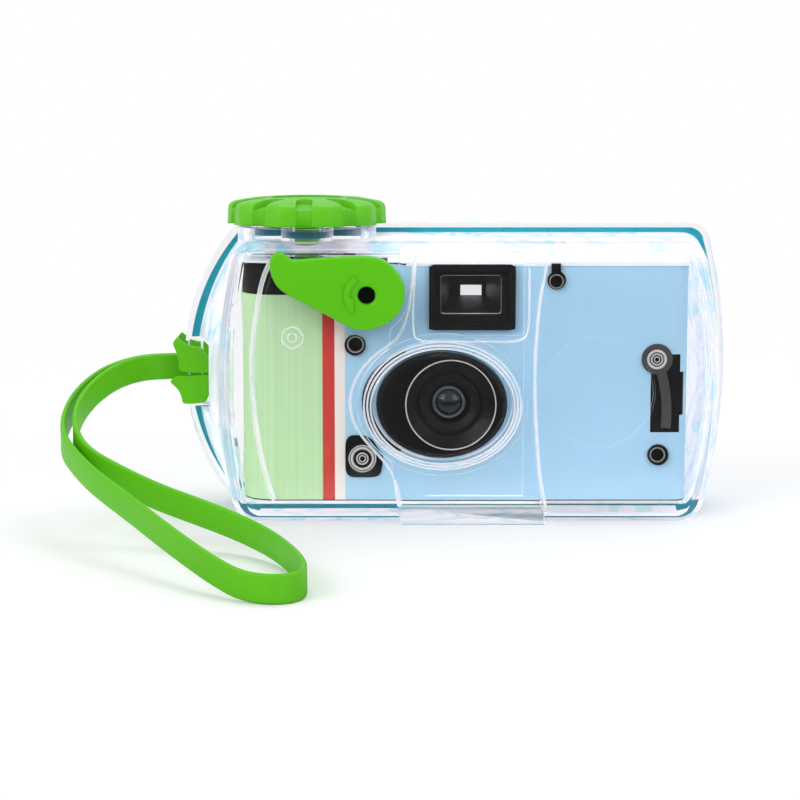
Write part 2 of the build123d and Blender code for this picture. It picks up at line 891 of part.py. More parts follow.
with BuildPart() as release_arm:
    arm_back = arm_front - arm_thickness
    arm_top = lever_z + arm_top_rise
    with BuildSketch(facing(arm_back)):
        with BuildLine():
            Polyline((lever_x + arm_radius, lever_z), (arm_finger_x + arm_finger_width / 2, arm_top),
                     (arm_finger_x - arm_finger_width / 2, arm_top),
                     (lever_x - arm_radius, lever_z), close=True)
        make_face()
        with Locations((lever_x, lever_z)):
            Circle(arm_radius)
            Circle(lever_hole_radius, mode=Mode.SUBTRACT)
    extrude(amount=arm_thickness)
    with BuildSketch(facing(arm_back)):
        with Locations((arm_finger_x, arm_top - arm_finger_height / 2)):
            Rectangle(arm_finger_width, arm_finger_height)
    extrude(amount=-arm_finger_length)
release_arm.part.label = "release_arm"
export_step(release_arm.part, "parts/release_arm.step")


def coil_spring(plane, radius, wire, pitch, turns):
    """Wire spring wound along a plane's normal, and points along the line of its wire."""
    with BuildPart() as spring:
        with BuildLine() as coil:
            helix = Helix(pitch=pitch, height=pitch * turns, radius=radius)
        with BuildSketch(Plane(origin=helix @ 0, z_dir=helix % 0)):
            Circle(wire / 2)
        sweep(path=coil.wire(), is_frenet=True)
    points = [helix @ (step / spring_checks) for step in range(spring_checks + 1)]
    return plane * spring.part, points


def least_gap(points, wire, turns):
    """Least distance between points of a coil at least half a turn apart, less the wire."""
    apart = round(len(points) / turns / 2)
    gaps = [(one - other).length
            for place, one in enumerate(points) for other in points[place + apart:]]
    return min(gaps) - wire


# Return spring of the lever, in the lever's hollow

lever_coil, lever_coil_points = coil_spring(
    Plane(origin=(lever_x, -face_front - lever_spring_wire, lever_z), z_dir=(0, -1, 0)),
    lever_spring_radius, lever_spring_wire, lever_spring_pitch, lever_spring_turns)
lever_coil_gap = least_gap(lever_coil_points, lever_spring_wire, lever_spring_turns)
print("lever_spring least gap", round(lever_coil_gap, 3))
with BuildPart() as lever_spring:
    add(lever_coil)
lever_spring.part.label = "lever_spring"
export_step(lever_spring.part, "parts/lever_spring.step")


def cut_round(centre_x, centre_z, radius, front, depth):
    """Round hole, cut backwards from a front."""
    with BuildSketch(facing(front)) as hole:
        with Locations((centre_x, centre_z)):
            Circle(radius)
    extrude(hole.sketch, amount=-depth, mode=Mode.SUBTRACT)


def add_round(centre_x, centre_z, radius, front, depth):
    """Round boss, raised forwards from a front."""
    with BuildSketch(facing(front)) as boss:
        with Locations((centre_x, centre_z)):
            Circle(radius)
    extrude(boss.sketch, amount=depth)


def cut_window(centre_x, centre_z, width, height, front, depth):
    """Square-cornered hole, cut backwards from a front."""
    with BuildSketch(facing(front)) as hole:
        with Locations((centre_x, centre_z)):
            Rectangle(width, height)
    extrude(hole.sketch, amount=-depth, mode=Mode.SUBTRACT)


def cut_level(centre_x, front, radius, height, depth):
    """Round hole, cut downwards from a height."""
    with BuildSketch(level(height)) as hole:
        with Locations((centre_x, -front)):
            Circle(radius)
    extrude(hole.sketch, amount=-depth, mode=Mode.SUBTRACT)


def add_level(centre_x, front, radius, height, rise):
    """Round boss, raised from a height."""
    with BuildSketch(level(height)) as boss:
        with Locations((centre_x, -front)):
            Circle(radius)
    extrude(boss.sketch, amount=rise)


def level_box(left, right, near_front, far_front, bottom, top, mode):
    """Box between two X, two fronts and two heights, added or cut."""
    with BuildSketch(level(bottom)) as base:
        with Locations(((left + right) / 2, -(near_front + far_front) / 2)):
            Rectangle(right - left, far_front - near_front)
    extrude(base.sketch, amount=top - bottom, mode=mode)


# Front cover of the inner camera

posts = ((upper_post_x, upper_post_z, upper_post_radius, upper_post_hole),
         (lower_post_x, lower_post_z, lower_post_radius, lower_post_hole),
         (top_post_x, top_post_z, top_post_radius, top_post_hole),
         (foot_post_x, foot_post_z, foot_post_radius, foot_post_hole))
finder_x = (finder_left + finder_right) / 2
finder_z = (finder_bottom + finder_top) / 2
finder_width = finder_right - finder_left
finder_height = finder_top - finder_bottom
side_slot_x = (side_slot_left + camera_right) / 2
side_slot_z = (side_slot_bottom + side_slot_top) / 2
side_slot_height = side_slot_top - side_slot_bottom
recess_floor = cover_front - recess_depth
inner_bottom = camera_bottom + cover_wall
inner_top = camera_top - cover_wall
cover_inner_front = cover_front - cover_wall
well_left = button_x - button_radius - well_margin
well_right = button_x + button_radius + move_gap + button_gap
well_back = button_front - button_radius - well_margin / 2

with BuildPart() as front_cover:
    with BuildSketch(level(camera_bottom)):
        add(camera_plan(card_thickness))
        with Locations((0, camera_half_depth - camera_split_front)):
            Rectangle(2 * housing_half_width, 2 * camera_half_depth, mode=Mode.SUBTRACT)
    extrude(amount=camera_top - camera_bottom)
    with BuildSketch(level(inner_bottom)):
        add(camera_plan(card_thickness + cover_wall))
    extrude(amount=inner_top - inner_bottom, mode=Mode.SUBTRACT)
    # Recess that the release arm swings in, open at the top
    add_round(lever_x, lever_z, arm_recess_radius + cover_wall, recess_floor - cover_wall,
              cover_front - recess_floor + cover_wall)
    level_box(well_left - cover_wall, lever_x + arm_recess_radius + cover_wall,
              recess_floor - cover_wall, cover_inner_front, lever_z - cover_wall, inner_top,
              Mode.ADD)
    cut_round(lever_x, lever_z, arm_recess_radius, cover_front, recess_depth)
    level_box(well_left, lever_x + arm_recess_radius, recess_floor, cover_front, lever_z,
              camera_top, Mode.SUBTRACT)
    # Well round the shutter button
    level_box(well_left - cover_wall, well_right + cover_wall, well_back - cover_wall,
              recess_floor, well_floor_z - cover_wall, inner_top, Mode.ADD)
    level_box(well_left, well_right, well_back, recess_floor + overrun, well_floor_z,
              camera_top, Mode.SUBTRACT)
    cut_level(button_x, button_front, button_stem_radius + button_gap, well_floor_z, cover_wall)
    # Posts with their holes
    for post_x, post_z, radius, hole in posts:
        add_round(post_x, post_z, radius, cover_inner_front,
                  cover_wall + card_thickness + post_rise)
        cut_round(post_x, post_z, hole, cover_front + card_thickness + post_rise, post_hole_depth)
    # Slot at the right-hand edge
    cut_window(side_slot_x, side_slot_z, camera_right - side_slot_left - 2 * post_ring,
               side_slot_height, cover_front, cover_wall / 2)
    # Openings for the lens, the finder and the wheel's hub
    cut_round(lens_x, lens_z, barrel_radius, cover_front, 2 * cover_wall)
    cut_window(finder_x, finder_z, finder_width - 2 * finder_wall,
               finder_height - 2 * finder_wall, cover_front, 2 * cover_wall)
    cut_level(knob_x, knob_front, wheel_hub_radius + move_gap, camera_top, cover_wall)
front_cover.part.label = "front_cover"
export_step(front_cover.part, "parts/front_cover.step")

# Rear cover, with the eyepiece opening and the pad that presses on the film

with BuildPart() as rear_cover:
    with BuildSketch(level(camera_bottom)):
        add(camera_plan(card_thickness))
        with Locations((0, -camera_split_front - camera_half_depth)):
            Rectangle(2 * housing_half_width, 2 * camera_half_depth, mode=Mode.SUBTRACT)
    extrude(amount=camera_top - camera_bottom)
    with BuildSketch(level(inner_bottom)):
        add(camera_plan(card_thickness + cover_wall))
    extrude(amount=inner_top - inner_bottom, mode=Mode.SUBTRACT)
    with BuildSketch(facing(-cover_inner_front)):
        with Locations((lens_x, film_z)):
            Rectangle(gate_width + 2 * pad_margin, gate_height + 2 * pad_margin)
    extrude(amount=cover_inner_front + film_front - film_channel / 2)
    cut_level(knob_x, knob_front, wheel_hub_radius + move_gap, camera_top, cover_wall)
    cut_level(dial_x, dial_front - counter_window_offset, counter_window_radius, camera_top,
              cover_wall)
    cut_window(finder_window_x, finder_window_z, eyepiece_width, eyepiece_height,
               -cover_inner_front, cover_wall)
rear_cover.part.label = "rear_cover"
export_step(rear_cover.part, "parts/rear_cover.step")

# Window over the frame counter

with BuildPart() as counter_window:
    add_level(dial_x, dial_front - counter_window_offset, counter_window_radius, inner_top,
              cover_wall)
counter_window.part.label = "counter_window"
export_step(counter_window.part, "parts/counter_window.step")

# Printed card wrapped round the front, the sides and the back

with BuildPart() as card_label:
    with BuildSketch(level(camera_bottom + card_margin)):
        add(camera_plan(0))
        add(camera_plan(card_thickness), mode=Mode.SUBTRACT)
    extrude(amount=camera_top - camera_bottom - 2 * card_margin)
    level_box(-housing_half_width, corner_cut_x, -housing_half_depth, housing_half_depth,
              corner_cut_z, camera_top, Mode.SUBTRACT)
    through = card_thickness + 2 * overrun
    ahead = camera_half_depth + overrun
    cut_round(lever_x, lever_z, recess_radius, ahead, through)
    for post_x, post_z, radius, hole in posts:
        cut_round(post_x, post_z, radius + seat_gap, ahead, through)
    cut_round(latch_x, latch_z, latch_radius + seat_gap, ahead, through)
    cut_window((latch_x + latch_foot_x) / 2 + latch_bow, (latch_z + latch_foot_z) / 2,
               3 * latch_width, latch_z - latch_foot_z + latch_width, ahead, through)
    cut_window(side_slot_x, side_slot_z, camera_right - side_slot_left - post_ring,
               side_slot_height, ahead, through)
    cut_window(finder_x, finder_z, finder_width, finder_height, ahead, through)
    with BuildSketch(facing(ahead)):
        with Locations((surround_x, surround_z)):
            Ellipse(surround_width / 2 + seat_gap, surround_height / 2 + seat_gap)
    extrude(amount=-through, mode=Mode.SUBTRACT)
    cut_window(finder_window_x, finder_window_z, eyepiece_width, eyepiece_height,
               overrun - camera_half_depth, through)
card_label.part.label = "card_label"
export_step(card_label.part, "parts/card_label.step")

# Sprung latch at the right-hand end of the front, with a round eye and a curved arm

with BuildPart() as cover_latch:
    with BuildSketch(facing(cover_front)):
        with BuildLine():
            ThreePointArc((latch_x, latch_z),
                          ((latch_x + latch_foot_x) / 2 + latch_bow, (latch_z + latch_foot_z) / 2),
                          (latch_foot_x, latch_foot_z))
        trace(line_width=latch_width)
        with Locations((latch_x, latch_z)):
            Circle(latch_radius)
    extrude(amount=latch_thickness)
    cut_round(latch_x, latch_z, latch_hole, cover_front + latch_thickness, latch_thickness / 2)
cover_latch.part.label = "cover_latch"
export_step(cover_latch.part, "parts/cover_latch.step")

# Oval surround of the lens, with a round dish

with BuildPart() as lens_surround:
    with BuildSketch(facing(cover_front)):
        with Locations((surround_x, surround_z)):
            Ellipse(surround_width / 2, surround_height / 2)
    extrude(amount=surround_front - cover_front)
    chamfer(lens_surround.faces().sort_by(Axis.Y)[0].edges(), length=surround_edge)
    with BuildSketch(facing(surround_front)):
        with Locations((lens_x, lens_z)):
            Circle(dish_radius)
    with BuildSketch(facing(surround_front - dish_depth)):
        with Locations((lens_x, lens_z)):
            Circle(dish_throat)
    loft(mode=Mode.SUBTRACT)
    cut_round(lens_x, lens_z, barrel_radius + seat_gap, surround_front,
              surround_front - cover_front)
lens_surround.part.label = "lens_surround"
export_step(lens_surround.part, "parts/lens_surround.step")

# Barrel of the lens, with the aperture in its floor

with BuildPart() as lens_barrel:
    add_round(lens_x, lens_z, barrel_radius, barrel_front - barrel_depth, barrel_depth)
    with BuildSketch(facing(barrel_front)):
        with Locations((lens_x, lens_z)):
            Circle(barrel_radius - barrel_rim)
    with BuildSketch(facing(lens_front + lens_ring_thickness)):
        with Locations((lens_x, lens_z)):
            Circle(lens_radius)
    loft(mode=Mode.SUBTRACT)
    cut_round(lens_x, lens_z, lens_radius, lens_front + lens_ring_thickness,
              lens_ring_thickness + lens_thickness)
    cut_round(lens_x, lens_z, aperture_radius, barrel_front, barrel_depth)
lens_barrel.part.label = "lens_barrel"
export_step(lens_barrel.part, "parts/lens_barrel.step")

# Plastic lens, flat behind and round in front

with BuildPart() as taking_lens:
    lens_curve = (lens_radius ** 2 + lens_crown ** 2) / (2 * lens_crown)
    add_round(lens_x, lens_z, lens_radius, lens_front - lens_thickness, lens_thickness)
    with Locations((lens_x, lens_curve - lens_front, lens_z)):
        Sphere(lens_curve, mode=Mode.INTERSECT)
taking_lens.part.label = "taking_lens"
export_step(taking_lens.part, "parts/taking_lens.step")

# Ring that holds the lens in its barrel

with BuildPart() as lens_ring:
    add_round(lens_x, lens_z, lens_radius, lens_front - lens_crown, lens_crown + lens_ring_thickness)
    cut_round(lens_x, lens_z, lens_radius - barrel_rim, lens_front + lens_ring_thickness,
              lens_crown + lens_ring_thickness)
    with Locations((lens_x, lens_curve - lens_front, lens_z)):
        Sphere(lens_curve, mode=Mode.SUBTRACT)
lens_ring.part.label = "lens_ring"
export_step(lens_ring.part, "parts/lens_ring.step")

# Frame of the viewfinder, with a stepped bezel

with BuildPart() as viewfinder_frame:
    finder_front = cover_front + card_thickness + finder_rise
    with BuildSketch(facing(cover_front)):
        with Locations((finder_x, finder_z)):
            RectangleRounded(finder_width, finder_height, finder_corner)
    extrude(amount=finder_front - cover_front)
    with BuildSketch(facing(finder_front)):
        with Locations((finder_x, finder_z)):
            RectangleRounded(finder_width - 2 * finder_bezel, finder_height - 2 * finder_bezel,
                             finder_corner)
    extrude(amount=-finder_bezel_depth, mode=Mode.SUBTRACT)
    with BuildSketch(facing(finder_front)):
        with Locations((finder_window_x, finder_window_z)):
            RectangleRounded(finder_window_width, finder_window_height, finder_lens_corner)
    extrude(amount=cover_front - finder_front, mode=Mode.SUBTRACT)
viewfinder_frame.part.label = "viewfinder_frame"
export_step(viewfinder_frame.part, "parts/viewfinder_frame.step")

# Front and rear lenses of the viewfinder

with BuildPart() as viewfinder_front_lens:
    with BuildSketch(facing(cover_front - finder_lens_sink)):
        with Locations((finder_window_x, finder_window_z)):
            RectangleRounded(finder_window_width - 2 * seat_gap, finder_window_height - 2 * seat_gap,
                             finder_lens_corner - seat_gap)
    extrude(amount=finder_lens_thickness)
viewfinder_front_lens.part.label = "viewfinder_front_lens"
export_step(viewfinder_front_lens.part, "parts/viewfinder_front_lens.step")

with BuildPart() as viewfinder_rear_lens:
    with BuildSketch(facing(-cover_front)):
        with Locations((finder_window_x, finder_window_z)):
            Rectangle(eyepiece_width - 2 * seat_gap, eyepiece_height - 2 * seat_gap)
    extrude(amount=eyepiece_thickness)
viewfinder_rear_lens.part.label = "viewfinder_rear_lens"
export_step(viewfinder_rear_lens.part, "parts/viewfinder_rear_lens.step")

# Chassis: chambers for the cassette and the film roll, light cone, deck and finder tunnel

chassis_back = film_front + film_channel / 2
deck_bottom = chamber_top_z - deck_thickness
chamber_radius = can_radius + chamber_gap
supply_chamber_radius = supply_flange_radius + chamber_gap
sprocket_front = film_front + film_thickness / 2 + move_gap + sprocket_radius + sprocket_tooth_height
pawl_z = wheel_z + (wheel_thickness - pawl_thickness) / 2
tunnel_front = cover_inner_front - 2 * chassis_gap
tunnel_rim = 2 * finder_wall

with BuildPart() as camera_body:
    with BuildSketch(level(inner_bottom)):
        add(camera_plan(card_thickness + cover_wall + chassis_gap))
        with Locations((0, -(chassis_front + chassis_back) / 2)):
            Rectangle(2 * housing_half_width, chassis_front - chassis_back, mode=Mode.INTERSECT)
    extrude(amount=chamber_top_z - inner_bottom)
    # Chamber of the cassette, with room for its lip
    with BuildSketch(level(inner_bottom)):
        with Locations((knob_x, -knob_front)):
            Circle(chamber_radius)
    extrude(amount=deck_bottom - inner_bottom, mode=Mode.SUBTRACT)
    level_box(knob_x, knob_x + can_radius + can_lip_length, chassis_back,
              film_front + can_lip_thickness / 2 + move_gap, inner_bottom, deck_bottom,
              Mode.SUBTRACT)
    # Chamber of the film roll
    with BuildSketch(level(inner_bottom + chassis_floor)):
        with Locations((supply_x, -supply_front)):
            Circle(supply_chamber_radius)
    extrude(amount=deck_bottom - inner_bottom - chassis_floor, mode=Mode.SUBTRACT)
    cut_level(supply_x, supply_front, supply_pin_radius + running_gap, chamber_top_z,
              chamber_top_z - inner_bottom)
    # Bridge over the light cone, lower than the deck
    level_box(lens_x - bridge_half_width, lens_x + bridge_half_width, chassis_back, chassis_front,
              bridge_top_z, chamber_top_z, Mode.SUBTRACT)
    with BuildSketch(facing(chassis_back)):
        with Locations((lens_x, film_z)):
            Rectangle(gate_width, gate_height)
    with BuildSketch(facing(chassis_front)):
        with Locations((lens_x, lens_z)):
            Rectangle(cone_mouth_width, cone_mouth_height)
    loft(mode=Mode.SUBTRACT)
    # Pockets beside the cone, which keep the walls thin
    for side in (-1, 1):
        cut_window(lens_x + side * pocket_offset, film_z, pocket_width, gate_height, chassis_front,
                   pocket_depth)
    # Deck: spool hole, wheel seat, bearings and pins
    cut_level(knob_x, knob_front, spool_end_radius + move_gap, chamber_top_z, deck_thickness)
    with BuildSketch(level(chamber_top_z)):
        with Locations((knob_x, -knob_front)):
            Circle(spool_end_radius + move_gap + seat_ring_width)
            Circle(spool_end_radius + move_gap, mode=Mode.SUBTRACT)
    extrude(amount=wheel_z - move_gap - chamber_top_z)
    cut_level(sprocket_x, sprocket_front, sprocket_shaft_radius + running_gap, bridge_top_z,
              sprocket_bearing_depth)
    cut_level(sprocket_x, sprocket_front, sprocket_radius + sprocket_tooth_height + move_gap,
              sprocket_z + sprocket_thickness / 2 + move_gap, sprocket_thickness + 2 * move_gap)
    add_level(pawl_x, pawl_front, pawl_hub_radius, chamber_top_z, pawl_z - move_gap - chamber_top_z)
    add_level(pawl_x, pawl_front, pawl_bore - running_gap, chamber_top_z,
              pawl_z + pawl_thickness + move_gap - chamber_top_z)
    add_level(dial_x, dial_front, post_radius - running_gap, chamber_top_z,
              dial_z + dial_thickness - chamber_top_z)
    add_round(striker_x, striker_z, post_radius - running_gap, chassis_front,
              striker_front + striker_thickness + spring_room - chassis_front)
    add_round(blade_x, blade_z, post_radius - running_gap, chassis_front,
              blade_front + blade_thickness + spring_room - chassis_front)
    # Tunnel of the viewfinder, on its foot
    level_box(finder_window_x - eyepiece_height / 2, finder_window_x + eyepiece_height / 2,
              chassis_back, chassis_front, bridge_top_z, finder_window_z - eyepiece_height / 2,
              Mode.ADD)
    with BuildSketch(facing(tunnel_front)):
        with Locations((finder_window_x, finder_window_z)):
            Rectangle(finder_window_width + tunnel_rim, finder_window_height + tunnel_rim)
    with BuildSketch(facing(-tunnel_front + finder_wall)):
        with Locations((finder_window_x, finder_window_z)):
            Rectangle(eyepiece_width + tunnel_rim, eyepiece_height + tunnel_rim)
    loft()
    with BuildSketch(facing(tunnel_front)):
        with Locations((finder_window_x, finder_window_z)):
            Rectangle(finder_window_width, finder_window_height)
    with BuildSketch(facing(-tunnel_front + finder_wall)):
        with Locations((finder_window_x, finder_window_z)):
            Rectangle(eyepiece_width, eyepiece_height)
    loft(mode=Mode.SUBTRACT)
camera_body.part.label = "camera_body"
export_step(camera_body.part, "parts/camera_body.step")

# Film cassette with its rims and its lip

with BuildPart() as film_cassette:
    add_level(knob_x, knob_front, can_radius - can_rim_step, can_bottom, can_height)
    add_level(knob_x, knob_front, can_radius, can_bottom, can_rim_height)
    add_level(knob_x, knob_front, can_radius, can_top - can_rim_height, can_rim_height)
    level_box(knob_x, knob_x + can_radius + can_lip_length - move_gap,
              film_front - can_lip_thickness / 2, film_front + can_lip_thickness / 2,
              film_z - film_width / 2 - can_wall, film_z + film_width / 2 + can_wall, Mode.ADD)
    cut_level(knob_x, knob_front, can_radius - can_rim_step - can_wall, can_top - can_wall,
              can_height - 2 * can_wall)
    cut_level(knob_x, knob_front, spool_end_radius + move_gap, can_top, can_height)
    level_box(knob_x, knob_x + can_radius + can_lip_length, film_front - film_channel / 2,
              film_front + film_channel / 2, film_z - film_width / 2, film_z + film_width / 2,
              Mode.SUBTRACT)
film_cassette.part.label = "film_cassette"
export_step(film_cassette.part, "parts/film_cassette.step")

# Spool inside the cassette, turned by the winding wheel's key

with BuildPart() as cassette_spool:
    add_level(knob_x, knob_front, spool_radius, can_bottom + can_rim_height,
              can_height - 2 * can_rim_height)
    add_level(knob_x, knob_front, spool_end_radius, can_bottom, can_height + spool_end_rise)
    with BuildSketch(level(can_top + spool_end_rise)):
        with Locations((knob_x, -knob_front)):
            Rectangle(2 * spool_end_radius, dog_width + 2 * move_gap)
    extrude(amount=-wheel_key_height - move_gap, mode=Mode.SUBTRACT)
    cut_level(knob_x, knob_front, spool_bore, can_bottom + can_height / 4, can_height / 4)
cassette_spool.part.label = "cassette_spool"
export_step(cassette_spool.part, "parts/cassette_spool.step")

# Film between the cassette and the roll, with its two rows of perforations

with BuildPart() as film_strip:
    film_left = knob_x + can_radius + can_lip_length / 2
    film_length = supply_x - film_left
    with BuildSketch(facing(film_front - film_thickness / 2)):
        with Locations((film_left + film_length / 2, film_z)):
            Rectangle(film_length, film_width)
            with GridLocations(perforation_pitch, film_width - 2 * perforation_inset,
                               int(film_length / perforation_pitch), 2):
                Rectangle(perforation_width, perforation_height, mode=Mode.SUBTRACT)
    extrude(amount=film_thickness)
film_strip.part.label = "film_strip"
export_step(film_strip.part, "parts/film_strip.step")

# Spool and roll of unused film

flange_bottom = film_z - film_width / 2 - spool_flange_gap - spool_flange_thickness
flange_top = film_z + film_width / 2 + spool_flange_gap

with BuildPart() as supply_spool:
    add_level(supply_x, supply_front, supply_pin_radius, inner_bottom + move_gap,
              chamber_top_z - inner_bottom - 2 * move_gap)
    add_level(supply_x, supply_front, supply_core_radius, inner_bottom + chassis_floor + move_gap,
              deck_bottom - inner_bottom - chassis_floor - 2 * move_gap)
    add_level(supply_x, supply_front, supply_flange_radius, flange_bottom, spool_flange_thickness)
    add_level(supply_x, supply_front, supply_flange_radius, flange_top, spool_flange_thickness)
supply_spool.part.label = "supply_spool"
export_step(supply_spool.part, "parts/supply_spool.step")

with BuildPart() as film_roll:
    add_level(supply_x, supply_front, roll_radius, film_z - film_width / 2, film_width)
    cut_level(supply_x, supply_front, supply_core_radius, film_z + film_width / 2, film_width)
film_roll.part.label = "film_roll"
export_step(film_roll.part, "parts/film_roll.step")


def ratchet_outline(radius, tooth_depth, teeth):
    """Disc with saw teeth round its edge."""
    step = 2 * pi / teeth
    root = radius - tooth_depth
    corners = []
    for tooth in range(teeth):
        corners.append((root * cos(tooth * step), root * sin(tooth * step)))
        corners.append((radius * cos((tooth + 1) * step), radius * sin((tooth + 1) * step)))
    with BuildSketch(Plane.XY) as outline:
        with BuildLine():
            Polyline(*corners, close=True)
        make_face()
    return outline.sketch


# Winding wheel, with the slots that the knob's dog drives and the key of the spool

with BuildPart() as winding_wheel:
    with BuildSketch(level(wheel_z)):
        with Locations((knob_x, -knob_front)):
            add(ratchet_outline(wheel_radius, wheel_tooth_depth, wheel_teeth))
    extrude(amount=wheel_thickness)
    add_level(knob_x, knob_front, wheel_hub_radius, wheel_z, wheel_hub_top - wheel_z)
    with BuildSketch(level(wheel_hub_top)):
        with Locations((knob_x, -knob_front)):
            Rectangle(dog_length + 2 * move_gap, dog_width + 2 * move_gap)
            Rectangle(dog_width + 2 * move_gap, dog_length + 2 * move_gap)
    extrude(amount=-wheel_slot_depth, mode=Mode.SUBTRACT)
    with BuildSketch(level(wheel_z)):
        with Locations((knob_x, -knob_front)):
            Rectangle(dog_length, dog_width)
    extrude(amount=-wheel_key_height)
winding_wheel.part.label = "winding_wheel"
export_step(winding_wheel.part, "parts/winding_wheel.step")

# Pawl that lets the wheel turn one way

with BuildPart() as ratchet_pawl:
    with BuildSketch(level(pawl_z)):
        with BuildLine():
            Polyline((pawl_x, pawl_width / 2 - pawl_front), (pawl_tip_x, -pawl_tip_front),
                     (pawl_tip_x + pawl_width / 2, pawl_width / 2 - pawl_tip_front),
                     (pawl_x, pawl_hub_radius - pawl_front), close=True)
        make_face()
        with Locations((pawl_x, -pawl_front)):
            Circle(pawl_hub_radius)
            Circle(pawl_bore, mode=Mode.SUBTRACT)
    extrude(amount=pawl_thickness)
ratchet_pawl.part.label = "ratchet_pawl"
export_step(ratchet_pawl.part, "parts/ratchet_pawl.step")

# Sprocket that the film turns, on its shaft

with BuildPart() as film_sprocket:
    with BuildSketch(level(sprocket_z - sprocket_thickness / 2)):
        with Locations((sprocket_x, -sprocket_front)):
            Circle(sprocket_radius)
            with PolarLocations(sprocket_radius + sprocket_tooth_height - sprocket_tooth_radius,
                                sprocket_teeth):
                Circle(sprocket_tooth_radius)
    extrude(amount=sprocket_thickness)
    add_level(sprocket_x, sprocket_front, sprocket_shaft_radius,
              bridge_top_z - sprocket_bearing_depth + move_gap,
              sprocket_shaft_top - bridge_top_z + sprocket_bearing_depth - move_gap)
film_sprocket.part.label = "film_sprocket"
export_step(film_sprocket.part, "parts/film_sprocket.step")

# Frame counter dial

with BuildPart() as counter_dial:
    with BuildSketch(level(dial_z)):
        with Locations((dial_x, -dial_front)):
            add(ratchet_outline(dial_radius, dial_tooth_depth, dial_teeth))
    extrude(amount=dial_thickness)
    add_level(dial_x, dial_front, dial_hub_radius, chamber_top_z + move_gap,
              dial_z - chamber_top_z - move_gap)
    cut_level(dial_x, dial_front, post_radius, dial_z + dial_thickness,
              dial_z + dial_thickness - chamber_top_z)
counter_dial.part.label = "counter_dial"
export_step(counter_dial.part, "parts/counter_dial.step")

# Shutter button

with BuildPart() as shutter_button:
    button_top = arm_top - arm_finger_height - move_gap
    add_level(button_x, button_front, button_radius, button_top - button_head_height,
              button_head_height)
    add_level(button_x, button_front, button_stem_radius, button_stem_end,
              button_top - button_stem_end)
shutter_button.part.label = "shutter_button"
export_step(shutter_button.part, "parts/shutter_button.step")

# Striker that knocks the shutter blade open, and the blade

with BuildPart() as striker:
    with BuildSketch(facing(striker_front)):
        with BuildLine():
            Line((striker_x, striker_z), (striker_tip_x, striker_tip_z))
        trace(line_width=striker_width)
        with Locations((striker_x, striker_z)):
            Circle(striker_hub_radius)
        with Locations((striker_tip_x, striker_tip_z)):
            Circle(striker_width / 2)
        with Locations((striker_x, striker_z)):
            Circle(post_radius, mode=Mode.SUBTRACT)
    extrude(amount=striker_thickness)
    add_round(striker_tip_x, striker_tip_z, striker_pin_radius, blade_front,
              striker_front - blade_front)
striker.part.label = "striker"
export_step(striker.part, "parts/striker.step")

with BuildPart() as shutter_blade:
    with BuildSketch(facing(blade_front)):
        with BuildLine():
            Line((blade_x, blade_z), (lens_x, lens_z))
        trace(line_width=blade_neck_width)
        with BuildLine():
            Line((blade_x, blade_z), (blade_tab_x, blade_tab_z))
        trace(line_width=blade_tab_width)
        with Locations((lens_x, lens_z)):
            Circle(blade_cover_radius)
        with Locations((blade_x, blade_z)):
            Circle(blade_hub_radius)
            Circle(post_radius, mode=Mode.SUBTRACT)
    extrude(amount=blade_thickness)
shutter_blade.part.label = "shutter_blade"
export_step(shutter_blade.part, "parts/shutter_blade.step")

# Springs of the striker and of the blade, round their pins

spring_seats = (
    ("striker_spring", striker_x, striker_z, striker_front + striker_thickness + spring_wire,
     striker_spring_radius, striker_spring_turns),
    ("blade_spring", blade_x, blade_z, blade_front + blade_thickness + spring_wire,
     blade_spring_radius, blade_spring_turns))
for name, spring_x, spring_z, spring_front, radius, turns in spring_seats:
    coil, coil_points = coil_spring(
        Plane(origin=(spring_x, -spring_front, spring_z), z_dir=(0, -1, 0)),
        radius, spring_wire, spring_pitch, turns)
    print(name, "least gap", round(least_gap(coil_points, spring_wire, turns), 3))
    with BuildPart() as shutter_spring:
        add(coil)
    shutter_spring.part.label = name
    export_step(shutter_spring.part, f"parts/{name}.step")

# Strap's hitch round the bar of the lug, split in two lobes

hitch_left = lug_slot_right - hitch_reach
hitch_front = flange_front + hitch_gap
hitch_back = flange_back - hitch_gap
hitch_right = lug_slot_right - lug_slot_width + hitch_gap + strap_thickness

with BuildPart() as strap_hitch:
    with BuildSketch(facing(hitch_back - strap_thickness)):
        with BuildLine():
            top_z = lug_z + hitch_height / 2
            low_z = lug_z - hitch_height / 2
            right_half = hitch_right_height / 2
            Line((hitch_right, lug_z + right_half), (hitch_right, lug_z - right_half))
            ThreePointArc((hitch_right, lug_z - right_half),
                          ((hitch_right + hitch_left) / 2, low_z + hitch_corner / 2),
                          (hitch_left, low_z))
            ThreePointArc((hitch_left, low_z), (hitch_left + hitch_corner, (low_z + lug_z) / 2),
                          (hitch_left + hitch_corner / 2, lug_z))
            ThreePointArc((hitch_left + hitch_corner / 2, lug_z),
                          (hitch_left + hitch_corner, (top_z + lug_z) / 2), (hitch_left, top_z))
            ThreePointArc((hitch_left, top_z),
                          ((hitch_right + hitch_left) / 2, top_z - hitch_corner / 2),
                          (hitch_right, lug_z + right_half))
        make_face()
    extrude(amount=hitch_front - hitch_back + 2 * strap_thickness)
    level_box(hitch_left - overrun, hitch_right - strap_thickness, hitch_back, hitch_front,
              low_z - overrun, top_z + overrun, Mode.SUBTRACT)
    level_box(hitch_left - overrun, hitch_right + overrun, hitch_back,
              hitch_front + strap_thickness, lug_z - hitch_split / 2, lug_z + hitch_split / 2,
              Mode.SUBTRACT)
strap_hitch.part.label = "strap_hitch"
export_step(strap_hitch.part, "parts/strap_hitch.step")

# Wrist strap: its line from the hitch, round the loop and back, as X, front and Z

